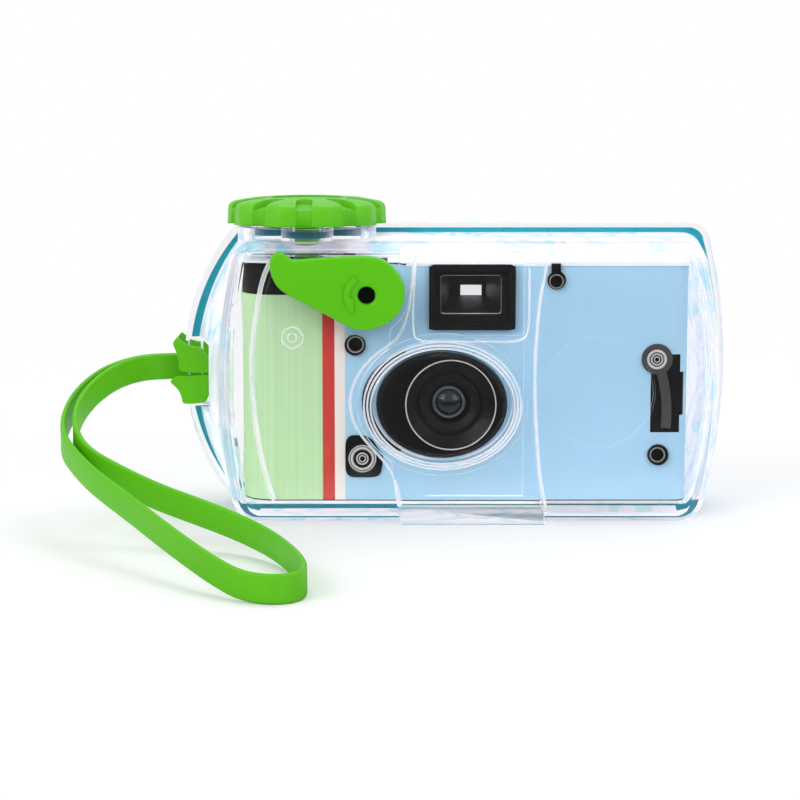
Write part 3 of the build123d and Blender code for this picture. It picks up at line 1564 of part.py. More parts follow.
strap_route = (
    (-62.3, -7.1, 32.8), (-68.0, -7.4, 32.8), (-75.2, -6.0, 32.3), (-82.0, 0.6, 30.5),
    (-86.6, 10.4, 27.0), (-88.2, 20.0, 23.2), (-87.4, 28.6, 20.0), (-83.8, 37.0, 17.6),
    (-77.7, 48.7, 15.0), (-69.1, 60.8, 12.0), (-61.0, 73.0, 9.0), (-53.6, 83.4, 6.4),
    (-48.0, 90.2, 4.5), (-43.6, 94.4, 3.3), (-38.6, 96.9, 3.0), (-33.8, 96.4, 3.0),
    (-31.0, 92.2, 3.0), (-31.0, 84.6, 3.0), (-33.6, 72.0, 3.0), (-39.2, 58.6, 4.0),
    (-47.4, 50.2, 6.0), (-56.0, 46.6, 8.5), (-64.6, 43.6, 11.0), (-72.4, 40.4, 14.0),
    (-78.4, 35.8, 17.4), (-81.6, 29.4, 21.0), (-81.4, 21.8, 25.2), (-78.0, 14.0, 29.4),
    (-73.6, 5.4, 31.9), (-71.6, -2.6, 32.8), (-66.6, -4.9, 32.8), (-62.3, -4.9, 32.8))
strap_points = [Vector(x, -front, z) for x, front, z in strap_route]
strap_radii = []
for before, point, after in zip(strap_points, strap_points[1:], strap_points[2:]):
    turn = radians((point - before).get_angle(after - point))
    run = min((point - before).length, (after - point).length)
    strap_radii.append(strap_bend_share * run / tan(turn / 2))
print("wrist_strap radii", [round(radius, 1) for radius in strap_radii])

strap_line = FilletPolyline(*strap_points, radius=strap_radii).wire()
strap_sections = []
for step in range(strap_steps + 1):
    point = strap_line @ (step / strap_steps)
    along = strap_line % (step / strap_steps)
    band_plane = Plane(origin=point, x_dir=(0, 0, 1), z_dir=(along.X, along.Y, 0))
    strap_sections.append(band_plane * Rectangle(strap_width, strap_thickness))

with BuildPart() as wrist_strap:
    loft(strap_sections, ruled=True)
wrist_strap.part.label = "wrist_strap"
print("wrist_strap length", round(strap_line.length, 1), "volume",
      round(wrist_strap.part.volume, 1), "section by length",
      round(strap_width * strap_thickness * strap_line.length, 1))
export_step(wrist_strap.part, "parts/wrist_strap.step")
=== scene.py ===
import math

import bpy
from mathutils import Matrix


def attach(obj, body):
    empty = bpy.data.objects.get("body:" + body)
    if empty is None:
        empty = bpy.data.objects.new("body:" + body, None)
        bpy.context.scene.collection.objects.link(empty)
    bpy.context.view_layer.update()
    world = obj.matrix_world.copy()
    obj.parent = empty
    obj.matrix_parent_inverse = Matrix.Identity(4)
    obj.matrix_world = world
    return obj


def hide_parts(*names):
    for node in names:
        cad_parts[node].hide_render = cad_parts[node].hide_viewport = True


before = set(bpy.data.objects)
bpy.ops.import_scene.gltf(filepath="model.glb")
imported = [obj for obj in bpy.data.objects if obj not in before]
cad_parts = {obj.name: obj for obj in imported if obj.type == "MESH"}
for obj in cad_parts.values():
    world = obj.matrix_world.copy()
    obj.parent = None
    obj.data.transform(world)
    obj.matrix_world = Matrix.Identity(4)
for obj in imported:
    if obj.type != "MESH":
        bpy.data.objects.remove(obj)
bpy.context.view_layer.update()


# The view: a long lens a little above the housing, looking slightly down at its front, at the
# distance and the height that the photograph was taken from.
view = bpy.data.cameras.new("view")
view.sensor_width = 36.0
view.lens = 99.675
view.clip_start = 0.01
viewpoint = bpy.data.objects.new("viewpoint", view)
viewpoint.location = (-0.0126, -0.511, 0.1001)
viewpoint.rotation_euler = (math.radians(81.7), 0.0, 0.0)
bpy.context.scene.collection.objects.link(viewpoint)
bpy.context.scene.camera = viewpoint


# Wrist strap: one flat band of soft green elastomer, moulded in one piece and looped through
# itself at the lug. It leaves the hitch edgeways, runs forward and lies on its edge in front.
mm_per_metre = 1000.0


def printed_shade(red, green, blue):
    """A colour seen on the object, 0 to 255 a channel, as light that a surface returns."""
    channels = []
    for value in (red, green, blue):
        share = value / 255.0
        channels.append(share / 12.92 if share <= 0.04045 else ((share + 0.055) / 1.055) ** 2.4)
    return (channels[0], channels[1], channels[2], 1.0)


def dialled(node, settings):
    """Sets a node's inputs by name, and hands the node back."""
    for name, value in settings.items():
        node.inputs[name].default_value = value
    return node


def worked_out(tree, operation, *given):
    """A sum in a node tree, from numbers and from what other nodes put out."""
    node = tree.nodes.new("ShaderNodeMath")
    node.operation = operation
    for socket, value in zip(node.inputs, given):
        if isinstance(value, float):
            socket.default_value = value
        else:
            tree.links.new(value, socket)
    return node.outputs["Value"]


def noise_on_piece(tree, **settings):
    """A cloud of noise fixed to the piece, with the piece's own coordinates for its place."""
    place = tree.nodes.new("ShaderNodeTexCoord")
    noise = dialled(tree.nodes.new("ShaderNodeTexNoise"), settings)
    tree.links.new(place.outputs["Object"], noise.inputs["Vector"])
    return noise


def new_effect(name, takes, gives):
    """An effect that several finishes share, with what it takes and what it gives."""
    effect = bpy.data.node_groups.new(name, "ShaderNodeTree")
    for way, sockets in (("INPUT", takes), ("OUTPUT", gives)):
        for socket_name, kind in sockets:
            effect.interface.new_socket(name=socket_name, in_out=way, socket_type="NodeSocket" + kind)
    given = effect.nodes.new("NodeGroupInput").outputs
    result = effect.nodes.new("NodeGroupOutput").inputs
    return effect, given, result


def new_finish(name):
    """A finish with its shader, to be worked on."""
    material = bpy.data.materials.new(name)
    material.use_nodes = True
    return material, material.node_tree, material.node_tree.nodes["Principled BSDF"]


def moulded_skin():
    """Effect on a moulded surface: slow mottle in the colour, fine grain, and faint rub marks."""
    skin, given, result = new_effect(
        "moulded_skin",
        (("Colour", "Color"), ("Mottle", "Float"), ("Grain", "Float"), ("Finish", "Float"), ("Rub", "Float")),
        (("Colour", "Color"), ("Roughness", "Float"), ("Height", "Float")),
    )
    cloud = noise_on_piece(skin, Scale=90.0, Detail=3.0)
    grain = noise_on_piece(skin, Detail=2.0)
    rub = noise_on_piece(skin, Scale=260.0, Detail=5.0, Distortion=1.4)
    skin.links.new(given["Grain"], grain.inputs["Scale"])
    centred = worked_out(skin, "SUBTRACT", cloud.outputs["Fac"], 0.5)
    swing = worked_out(skin, "MULTIPLY_ADD", centred, given["Mottle"], 1.0)
    tint = skin.nodes.new("ShaderNodeVectorMath")
    tint.operation = "SCALE"
    skin.links.new(given["Colour"], tint.inputs["Vector"])
    skin.links.new(swing, tint.inputs["Scale"])
    skin.links.new(tint.outputs["Vector"], result["Colour"])
    rubbed = worked_out(skin, "MULTIPLY_ADD", rub.outputs["Fac"], given["Rub"], given["Finish"])
    skin.links.new(rubbed, result["Roughness"])
    skin.links.new(grain.outputs["Fac"], result["Height"])
    return skin


skin_effect = moulded_skin()


def skinned(tree, shader, relief, **settings):
    """Puts the moulded skin on a shader, with its grain standing up by the relief in metres."""
    skin = tree.nodes.new("ShaderNodeGroup")
    skin.node_tree = skin_effect
    dialled(skin, settings)
    bump = dialled(tree.nodes.new("ShaderNodeBump"), {"Strength": 1.0, "Distance": relief})
    tree.links.new(skin.outputs["Colour"], shader.inputs["Base Color"])
    tree.links.new(skin.outputs["Roughness"], shader.inputs["Roughness"])
    tree.links.new(skin.outputs["Height"], bump.inputs["Height"])
    tree.links.new(bump.outputs["Normal"], shader.inputs["Normal"])
    return skin


def moulded_plastic(name, colour, finish, mottle=0.08, grain=900.0, relief=0.00001, rub=0.08, specular=0.5):
    """A moulded plastic or rubber of one colour, with its skin worked in by the effect above."""
    material, tree, shader = new_finish(name)
    skinned(tree, shader, relief, Colour=colour, Mottle=mottle, Grain=grain, Finish=finish, Rub=rub)
    shader.inputs["Specular IOR Level"].default_value = specular
    return material


strap_green = moulded_plastic(
    "strap_green", printed_shade(94, 188, 12), finish=0.42,
    mottle=0.10, grain=700.0, relief=0.00002, specular=0.25,
)
strap_route = (
    (-62.3, -7.1, 32.8), (-68.0, -7.4, 32.8), (-75.2, -6.0, 32.3), (-82.0, 0.6, 30.5),
    (-86.6, 10.4, 27.0), (-88.2, 20.0, 23.2), (-87.4, 28.6, 20.0), (-83.8, 37.0, 17.6),
    (-77.7, 48.7, 15.0), (-69.1, 60.8, 12.0), (-61.0, 73.0, 9.0), (-53.6, 83.4, 6.4),
    (-48.0, 90.2, 4.5), (-43.6, 94.4, 3.3), (-38.6, 96.9, 3.0), (-33.8, 96.4, 3.0),
    (-31.0, 92.2, 3.0), (-31.0, 84.6, 3.0), (-33.6, 72.0, 3.0), (-39.2, 58.6, 4.0),
    (-47.4, 50.2, 6.0), (-56.0, 46.6, 8.5), (-64.6, 43.6, 11.0), (-72.4, 40.4, 14.0),
    (-80.4, 35.8, 17.4), (-84.0, 29.2, 21.0), (-84.6, 21.0, 25.2), (-82.0, 12.6, 29.2),
    (-77.6, 4.6, 31.9), (-72.6, -2.2, 32.8), (-66.8, -4.9, 32.8), (-62.3, -4.9, 32.8),
)
strap_line = bpy.data.curves.new("wrist_band", "CURVE")
strap_line.dimensions = "3D"
strap_line.twist_mode = "Z_UP"
strap_line.resolution_u = 14
strap_line.extrude = 0.0024
strap_line.bevel_depth = 0.0006
strap_line.bevel_resolution = 3
strap_line.offset = 0.0003
strap_run = strap_line.splines.new("NURBS")
strap_run.points.add(len(strap_route) - 1)
for point, (across, forward, height) in zip(strap_run.points, strap_route):
    point.co = (across / mm_per_metre, -forward / mm_per_metre, height / mm_per_metre, 1.0)
strap_run.order_u = 3
strap_run.use_endpoint_u = True
wrist_band = bpy.data.objects.new("wrist_band", strap_line)
bpy.context.scene.collection.objects.link(wrist_band)
strap_line.materials.append(strap_green)
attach(wrist_band, "housing")
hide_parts("wrist_strap")


# Strap hitch: the same green elastomer, where the band's end is doubled round the bar of the
# lug and held in two moulded lobes, front and back, with a slit and a web between them.
weld_distance = 0.000002


def pick_alone(piece):
    """Picks one piece and nothing else, ready for the next step on it."""
    bpy.ops.object.select_all(action="DESELECT")
    bpy.context.view_layer.objects.active = piece
    piece.select_set(True)


def meshed(curve_piece, crease):
    """A drawn line as a welded skin, its faces outwards and smooth up to the crease in degrees."""
    pick_alone(curve_piece)
    bpy.ops.object.convert(target="MESH")
    piece = bpy.context.active_object
    bpy.ops.object.transform_apply(location=True, rotation=True, scale=True)
    bpy.ops.object.mode_set(mode="EDIT")
    bpy.ops.mesh.select_all(action="SELECT")
    bpy.ops.mesh.remove_doubles(threshold=weld_distance)
    bpy.ops.mesh.normals_make_consistent(inside=False)
    bpy.ops.object.mode_set(mode="OBJECT")
    bpy.ops.object.shade_smooth_by_angle(angle=math.radians(crease))
    return piece


def flat_blank(name, outline, thickness, edge, front, holes=(), rounded=True):
    """A flat moulding cut to an outline of (across, height) in mm, with its edges eased."""
    blank = bpy.data.curves.new(name, "CURVE")
    blank.dimensions = "2D"
    blank.fill_mode = "BOTH"
    blank.extrude = thickness / 2.0 / mm_per_metre - edge / mm_per_metre
    blank.bevel_depth = edge / mm_per_metre
    blank.bevel_resolution = 3
    blank.offset = -edge / mm_per_metre
    blank.resolution_u = 6
    for points in (outline,) + tuple(holes):
        run = blank.splines.new("NURBS" if rounded else "POLY")
        run.points.add(len(points) - 1)
        for point, (across, height) in zip(run.points, points):
            point.co = (across / mm_per_metre, height / mm_per_metre, 0.0, 1.0)
        run.use_cyclic_u = True
        if rounded:
            run.order_u = 3
    piece = bpy.data.objects.new(name, blank)
    bpy.context.scene.collection.objects.link(piece)
    piece.rotation_euler = (math.radians(90.0), 0.0, 0.0)
    piece.location = (0.0, -(front - thickness / 2.0) / mm_per_metre, 0.0)
    return meshed(piece, 35.0)


def fitted(piece, finish, body, record_slot, *replaced):
    """Gives a new piece its finish, the body it rides on and the solids it stands for."""
    piece.data.materials.clear()
    piece.data.materials.append(finish)
    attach(piece, body)
    if replaced:
        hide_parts(*replaced)
    return piece


def bowed_round_bar(piece, middle, half_width, bow, side):
    """Bows a flat lobe round the upright bar that it is wrapped on."""
    pick_alone(piece)
    bpy.ops.object.mode_set(mode="EDIT")
    for cut in range(1, 9):
        bpy.ops.mesh.select_all(action="SELECT")
        station = middle - half_width + cut * half_width / 4.5
        bpy.ops.mesh.bisect(plane_co=(station, 0.0, 0.0), plane_no=(1.0, 0.0, 0.0))
    bpy.ops.object.mode_set(mode="OBJECT")
    for vertex in piece.data.vertices:
        share = (vertex.co.x - middle) / half_width
        vertex.co.y += side * bow * (share * share - 1.0)
    bpy.ops.object.shade_smooth_by_angle(angle=math.radians(40.0))


def squared_block(name, middle, size, edge, segments=1, openings=()):
    """A square-cut block or sheet with openings cut by other pieces, and its edges eased."""
    bpy.ops.object.select_all(action="DESELECT")
    bpy.ops.mesh.primitive_cube_add(size=1.0, location=middle)
    block = bpy.context.active_object
    block.name = name
    block.scale = size
    bpy.ops.object.transform_apply(location=True, rotation=True, scale=True)
    for cutter in openings:
        opening = block.modifiers.new("opening", "BOOLEAN")
        opening.operation = "DIFFERENCE"
        opening.solver = "EXACT"
        opening.object = cutter
        bpy.ops.object.modifier_apply(modifier=opening.name)
        bpy.data.objects.remove(cutter)
    bpy.ops.object.mode_set(mode="EDIT")
    bpy.ops.mesh.select_all(action="SELECT")
    bpy.ops.mesh.bevel(offset=edge, segments=segments, affect="EDGES")
    bpy.ops.object.mode_set(mode="OBJECT")
    return block


upper_lobe = (
    (-64.5, 40.2), (-65.4, 39.0), (-65.4, 38.4), (-64.6, 36.8), (-64.2, 34.9), (-64.1, 32.9),
    (-63.9, 32.4), (-62.4, 32.1), (-58.8, 31.95), (-56.6, 31.9), (-56.3, 32.1), (-56.5, 33.4),
    (-57.1, 35.2), (-58.1, 36.9), (-59.1, 38.0), (-59.7, 38.1), (-61.4, 38.3), (-62.8, 38.9),
    (-64.2, 40.1),
)
lower_lobe = (
    (-66.2, 29.7), (-65.9, 30.2), (-64.9, 31.0), (-64.4, 31.1), (-62.4, 31.3), (-58.4, 31.6),
    (-56.7, 31.65), (-56.3, 31.2), (-56.3, 30.1), (-56.6, 28.2), (-57.5, 25.8), (-57.9, 25.1),
    (-59.9, 24.8), (-62.9, 24.7), (-63.3, 24.9), (-63.5, 26.4), (-64.3, 28.0), (-65.9, 29.3),
)
for name, outline, front, side in (
    ("hitch_lobe_upper", upper_lobe, -0.3, 1.0),
    ("hitch_lobe_lower", lower_lobe, -0.3, 1.0),
    ("hitch_back_upper", upper_lobe, -9.9, -1.0),
    ("hitch_back_lower", lower_lobe, -9.9, -1.0),
):
    lobe = flat_blank(name, outline, thickness=1.8, edge=0.3, front=front)
    bowed_round_bar(lobe, middle=-0.0604, half_width=0.0048, bow=0.0012, side=side)
    fitted(lobe, strap_green, "housing", "strap_plastic")
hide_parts("strap_hitch")
hitch_web = squared_block(
    "hitch_web", middle=(-0.0575, 0.006, 0.0317), size=(0.0018, 0.0112, 0.0056), edge=0.0005, segments=3,
)
bpy.ops.object.shade_smooth_by_angle(angle=math.radians(40.0))
fitted(hitch_web, strap_green, "housing", "strap_plastic")


# Clear housing: two shells of polycarbonate about 2 mm thick, moulded clear and highly
# polished. The front carries the raised block, the window frame, the port and the collar.
def flow_lines():
    """Effect in a clear moulding: slow flow lines in its tint and polish, and pale broken glints."""
    effect, given, result = new_effect(
        "flow_lines",
        (("Tint", "Color"), ("Finish", "Float")),
        (("Colour", "Color"), ("Roughness", "Float"), ("Height", "Float"), ("Glint", "Color")),
    )
    links = effect.links
    flow = noise_on_piece(effect, Scale=46.0, Detail=1.5, Distortion=0.8)
    polish = effect.nodes.new("ShaderNodeMapRange")
    links.new(flow.outputs["Fac"], polish.inputs["Value"])
    links.new(given["Finish"], polish.inputs["To Min"])
    links.new(worked_out(effect, "ADD", given["Finish"], 0.02), polish.inputs["To Max"])
    links.new(polish.outputs["Result"], result["Roughness"])
    body = effect.nodes.new("ShaderNodeMix")
    body.data_type = "RGBA"
    body.inputs["B"].default_value = (1.0, 1.0, 1.0, 1.0)
    links.new(given["Tint"], body.inputs["A"])
    links.new(flow.outputs["Fac"], body.inputs["Factor"])
    links.new(body.outputs["Result"], result["Colour"])
    links.new(flow.outputs["Fac"], result["Height"])
    glint = noise_on_piece(effect, Scale=70.0, Detail=2.0, Distortion=2.5)
    shades = effect.nodes.new("ShaderNodeValToRGB")
    teal_glint, white_glint = shades.color_ramp.elements
    teal_glint.position = 0.36
    teal_glint.color = printed_shade(150, 216, 232)
    white_glint.position = 0.60
    white_glint.color = printed_shade(240, 236, 246)
    shades.color_ramp.elements.new(0.48).color = printed_shade(232, 226, 242)
    links.new(glint.outputs["Fac"], shades.inputs["Fac"])
    links.new(shades.outputs["Color"], result["Glint"])
    return effect


flow_effect = flow_lines()


def shared_between(tree, share, first, second):
    """Two shaders side by side, the second taking the share that is given."""
    mix = tree.nodes.new("ShaderNodeMixShader")
    tree.links.new(share, mix.inputs["Fac"])
    tree.links.new(first, mix.inputs[1])
    tree.links.new(second, mix.inputs[2])
    return mix.outputs["Shader"]


def clear_plastic(name, tint, finish, index):
    """Polished clear plastic. Lamps reach the inside through it, and its steep sides look hazy and glow with
    a painted sheen of pale glints.
    """
    material, tree, shader = new_finish(name)
    nodes, links = tree.nodes, tree.links
    dialled(shader, {"Transmission Weight": 1.0, "IOR": index})
    flow = nodes.new("ShaderNodeGroup")
    flow.node_tree = flow_effect
    dialled(flow, {"Tint": tint, "Finish": finish})
    ripple = dialled(nodes.new("ShaderNodeBump"), {"Strength": 1.0, "Distance": 0.00002})
    links.new(flow.outputs["Roughness"], shader.inputs["Roughness"])
    links.new(flow.outputs["Colour"], shader.inputs["Base Color"])
    links.new(flow.outputs["Height"], ripple.inputs["Height"])
    links.new(ripple.outputs["Normal"], shader.inputs["Normal"])
    # Painted sheen: a pale layer that glows in the glint colours and takes over where the sides turn steep.
    steep_glow = nodes.new("ShaderNodeBsdfPrincipled")
    dialled(steep_glow, {"Roughness": 0.35, "Emission Strength": 0.45})
    links.new(flow.outputs["Glint"], steep_glow.inputs["Base Color"])
    links.new(flow.outputs["Glint"], steep_glow.inputs["Emission Color"])
    steep = dialled(nodes.new("ShaderNodeLayerWeight"), {"Blend": 0.5})
    edge_share = nodes.new("ShaderNodeMapRange")
    edge_share.interpolation_type = "SMOOTHSTEP"
    dialled(edge_share, {"From Min": 0.18, "From Max": 0.95, "To Max": 0.66})
    links.new(steep.outputs["Facing"], edge_share.inputs["Value"])
    with_steep_glow = shared_between(tree, edge_share.outputs["Result"], shader.outputs["BSDF"], steep_glow.outputs["BSDF"])
    passing = nodes.new("ShaderNodeBsdfTransparent")
    path = nodes.new("ShaderNodeLightPath")
    whole = shared_between(tree, path.outputs["Is Shadow Ray"], with_steep_glow, passing.outputs["BSDF"])
    links.new(whole, nodes["Material Output"].inputs["Surface"])
    return material


def clean_copy(node, new_name):
    """A copy of a solid's skin, with its triangles joined along the edges that they share."""
    piece = bpy.data.objects.new(new_name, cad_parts[node].data.copy())
    bpy.context.scene.collection.objects.link(piece)
    pick_alone(piece)
    bpy.ops.object.mode_set(mode="EDIT")
    bpy.ops.mesh.select_all(action="SELECT")
    bpy.ops.mesh.remove_doubles(threshold=weld_distance)
    bpy.ops.object.mode_set(mode="OBJECT")
    bpy.ops.mesh.customdata_custom_splitnormals_clear()
    return piece


def finished_copy(node, new_name, record_slot, finish, crease=30.0):
    """A piece of the housing's body in its solid's shape, with its curved faces made smooth."""
    piece = clean_copy(node, new_name)
    bpy.ops.object.shade_smooth_by_angle(angle=math.radians(crease))
    flats = piece.modifiers.new("true_flats", "WEIGHTED_NORMAL")
    flats.keep_sharp = True
    bpy.ops.object.modifier_apply(modifier=flats.name)
    return fitted(piece, finish, "housing", record_slot, node)


housing_clear = clear_plastic("housing_clear", tint=(0.985, 0.985, 1.0, 1.0), finish=0.0, index=1.4)
shell_crease = 12.0
finished_copy("front_housing", "clear_front", "clear_shell", housing_clear, crease=shell_crease)
rear_shell = finished_copy("rear_housing", "clear_back", "clear_shell", housing_clear, crease=shell_crease)

# The two shells meet in one plane, so the rear one is drawn back by a hair where they part.
parting = 0.006
hair = 0.00002
for vertex in rear_shell.data.vertices:
    if abs(vertex.co.y - parting) < hair / 2.0:
        vertex.co.y += hair


# Moulded lines on the front: the raised block's edges, the window frame, the port's three
# steps, the curved rib and the gate mark stand proud of the face and catch the light. They are
# moulded in one with the front shell, in its clear plastic made partly pale, a painted highlight
# that makes them read as bright lines.
rib_highlight_plastic = clear_plastic("rib_painted_highlight", tint=(0.97, 0.96, 0.99, 1.0), finish=0.16, index=1.49)
# Less light passes through the beads, so they look pale: painted highlight lines.
rib_highlight_plastic.node_tree.nodes["Principled BSDF"].inputs["Transmission Weight"].default_value = 0.6


def moulded_line(name, points, front, width, rise, closed=False, drops=()):
    """A half-round bead, its width and rise in mm, along a line that drops where the face does."""
    line = bpy.data.curves.new(name, "CURVE")
    line.dimensions = "3D"
    line.bevel_depth = width / 2.0 / mm_per_metre
    line.bevel_resolution = 3
    line.resolution_u = 8
    line.use_fill_caps = not closed
    flattening = 2.0 * rise / width
    run = line.splines.new("NURBS")
    run.points.add(len(points) - 1)
    for number, (point, (across, height)) in enumerate(zip(run.points, points)):
        drop = drops[number] if drops else 0.0
        point.co = (across / mm_per_metre, drop / flattening / mm_per_metre, height / mm_per_metre, 1.0)
    run.order_u = 4
    run.use_endpoint_u = not closed
    run.use_cyclic_u = closed
    bead = bpy.data.objects.new(name, line)
    bpy.context.scene.collection.objects.link(bead)
    bead.scale = (1.0, flattening, 1.0)
    bead.location = (0.0, -front / mm_per_metre, 0.0)
    return fitted(meshed(bead, 60.0), rib_highlight_plastic, "housing", "clear_shell")


def ellipse(centre, half_width, half_height, count=16):
    """Points round an ellipse, wide enough that the smooth line through them keeps its size."""
    grown = 1.0 / (2.0 / 3.0 + math.cos(2.0 * math.pi / count) / 3.0)
    points = []
    for step in range(count):
        angle = 2.0 * math.pi * step / count
        across = centre[0] + half_width * grown * math.cos(angle)
        height = centre[1] + half_height * grown * math.sin(angle)
        points.append((across, height))
    return tuple(points)


moulded_line("curved_rib", (
    (-41.5, 59.3), (-43.3, 56.0), (-44.3, 50.0), (-45.4, 44.5), (-45.8, 38.5),
    (-45.9, 32.9), (-45.3, 24.7), (-44.4, 18.1), (-42.8, 10.3), (-41.0, 5.5),
), front=19.1, width=1.1, rise=0.35)
block_front = 20.9
fall_beside_port = (0.0,) * 4 + (0.2,) + (1.8,) * 11
moulded_line("block_left_edge", (
    (-9.1, 61.8), (-9.5, 58.5), (-9.9, 55.3), (-10.5, 49.0), (-12.0, 44.1), (-14.0, 41.2),
    (-17.7, 39.1), (-21.8, 34.9), (-23.6, 30.4), (-24.0, 27.5), (-23.4, 23.7), (-21.0, 19.5),
    (-16.5, 14.9), (-14.0, 11.5), (-12.8, 7.3), (-12.4, 4.2),
), front=block_front, width=0.6, rise=0.25, drops=fall_beside_port)
moulded_line("block_right_edge", (
    (20.2, 61.8), (19.9, 58.5), (18.7, 53.2), (17.9, 44.9), (17.5, 36.6),
    (17.5, 28.3), (18.1, 19.9), (18.7, 11.5), (19.5, 7.3), (20.2, 4.2),
), front=block_front, width=0.7, rise=0.25)
moulded_line("window_frame_line", (
    (-8.9, 61.8), (-9.3, 57.0), (-9.7, 50.2), (-9.7, 44.8), (-9.4, 42.2), (-6.4, 41.7), (0.0, 41.7),
    (10.0, 41.7), (14.6, 41.8), (15.9, 43.4), (16.2, 47.0), (16.2, 51.0), (16.1, 58.2),
), front=21.05, width=0.45, rise=0.2)
port_centre = (-3.1, 27.5)
for name, half_width, half_height, front in (
    ("port_step_outer", 17.55, 14.35, 22.75),
    ("port_step_middle", 16.8, 13.65, 23.3),
    ("port_step_inner", 16.05, 12.95, 23.6),
):
    step_line = ellipse(port_centre, half_width, half_height)
    moulded_line(name, step_line, front=front, width=0.42, rise=0.2, closed=True)
gate_mark = (-36.7, 42.4)
for name, radius, rise in (("gate_mark_ring", 2.35, 0.08), ("gate_mark_centre", 1.0, 0.06)):
    moulded_line(name, ellipse(gate_mark, radius, radius), front=19.05, width=0.3, rise=rise, closed=True)


# Seals: moulded rings of teal silicone, one squeezed in its groove between the shells and one
# round the knob's stem. Wet against the clear plastic, they show through its polished corners.
def swollen(piece, amount):
    """Swells a piece along its faces, so that it bears on the walls of its groove."""
    swell = piece.modifiers.new("swell", "DISPLACE")
    swell.strength = amount
    swell.mid_level = 0.0
    pick_alone(piece)
    bpy.ops.object.modifier_apply(modifier=swell.name)


seal_teal = moulded_plastic("seal_teal", printed_shade(0, 152, 172), finish=0.35, mottle=0.12, grain=1200.0)
swollen(finished_copy("housing_seal", "teal_main_seal", "seal_rubber", seal_teal), amount=0.00003)
finished_copy("knob_seal", "teal_stem_seal", "seal_rubber", seal_teal)


# Winding knob: lime green plastic, moulded with ten finger grooves and a sunk top, on a stem
# that goes down through the collar to the film wheel. The grooves are cut round a stepped drum.
knob_lime = moulded_plastic(
    "knob_lime", printed_shade(98, 194, 22), finish=0.34, mottle=0.06, relief=0.000006, specular=0.3,
)
knob_across, knob_back = (-0.034, -0.001)
knob_foot = 0.067
grooves_round = 10
bpy.ops.object.select_all(action="DESELECT")
bpy.ops.mesh.primitive_circle_add(
    vertices=grooves_round, radius=0.01835, fill_type="NGON",
    location=(knob_across, knob_back, knob_foot), rotation=(0.0, 0.0, math.radians(18.0)),
)
knob = bpy.context.active_object
knob.name = "grooved_knob"
bpy.ops.object.mode_set(mode="EDIT")
bpy.ops.mesh.select_all(action="SELECT")
bpy.ops.mesh.bevel(offset=0.0007, segments=3, affect="VERTICES")
bpy.ops.object.mode_set(mode="OBJECT")
bpy.ops.object.transform_apply(location=True, rotation=True, scale=True)
knob_steps = (
    (0.0036, 0.992), (0.0007, 0.985), (0.0005, 0.968), (0.0003, 0.95), (0.0004, 0.86), (0.00035, 0.66),
)
bpy.ops.object.mode_set(mode="EDIT")
for rise, share in knob_steps:
    bpy.ops.mesh.extrude_region_move(TRANSFORM_OT_translate={"value": (0.0, 0.0, rise)})
    bpy.ops.transform.resize(value=(share, share, 1.0), center_override=(knob_across, knob_back, knob_foot))
bpy.ops.mesh.inset(thickness=0.0004, depth=0.0)
bpy.ops.mesh.extrude_region_move(TRANSFORM_OT_translate={"value": (0.0, 0.0, -0.0005)})
bpy.ops.mesh.select_all(action="SELECT")
bpy.ops.mesh.normals_make_consistent(inside=False)
bpy.ops.object.mode_set(mode="OBJECT")

bpy.ops.object.select_all(action="DESELECT")
bpy.ops.mesh.primitive_cylinder_add(
    vertices=28, radius=0.0020, depth=0.012, location=(knob_across, knob_back - 0.0182, 0.070),
)
flute = bpy.context.active_object
trough_start = knob_back - 0.0112
bpy.ops.mesh.primitive_cylinder_add(
    vertices=28, radius=0.00185, depth=0.004, location=(knob_across, trough_start, 0.07375),
)
trough = bpy.context.active_object
bpy.ops.object.transform_apply(location=True, rotation=True, scale=True)

# Each groove runs on over the knob's face as a trough that sinks towards the rim.
trough_reach = 0.009
trough_brow = 0.074
sink_start = knob_back - 0.0095
sink = 0.16
for vertex in trough.data.vertices:
    if vertex.co.y < trough_start:
        vertex.co.y -= trough_reach
    if vertex.co.z < trough_brow:
        vertex.co.z -= (sink_start - vertex.co.y) * sink
flute.select_set(True)
bpy.context.view_layer.objects.active = flute
bpy.ops.object.join()
bpy.ops.object.transform_apply(location=True, rotation=True, scale=True)
cutter = bpy.context.active_object
bpy.ops.object.mode_set(mode="EDIT")
bpy.ops.mesh.select_all(action="SELECT")
for turn in range(grooves_round - 1):
    bpy.ops.mesh.duplicate()
    bpy.ops.transform.rotate(
        value=math.radians(36.0), orient_axis="Z", center_override=(knob_across, knob_back, 0.07),
    )
bpy.ops.mesh.select_all(action="SELECT")
bpy.ops.mesh.normals_make_consistent(inside=False)
bpy.ops.object.mode_set(mode="OBJECT")
pick_alone(knob)
grooves = knob.modifiers.new("finger_grooves", "BOOLEAN")
grooves.operation = "DIFFERENCE"
grooves.solver = "EXACT"
grooves.use_self = True
grooves.object = cutter
bpy.ops.object.modifier_apply(modifier=grooves.name)
bpy.data.objects.remove(cutter)
softened = knob.modifiers.new("softened_edges", "BEVEL")
softened.width = 0.00022
softened.segments = 2
softened.limit_method = "ANGLE"
softened.angle_limit = math.radians(28.0)
bpy.ops.object.modifier_apply(modifier=softened.name)
bpy.ops.object.shade_smooth_by_angle(angle=math.radians(32.0))
fitted(knob, knob_lime, "knob", "lime_plastic", "winding_knob")

stem = clean_copy("winding_knob", "knob_stem")
bpy.ops.object.mode_set(mode="EDIT")
bpy.ops.mesh.select_all(action="SELECT")
stem_top = knob_foot - 0.00001
bpy.ops.mesh.bisect(plane_co=(0.0, 0.0, stem_top), plane_no=(0.0, 0.0, 1.0), clear_outer=True, use_fill=True)
bpy.ops.object.mode_set(mode="OBJECT")
bpy.ops.object.shade_smooth_by_angle(angle=math.radians(30.0))
fitted(stem, knob_lime, "knob", "lime_plastic")


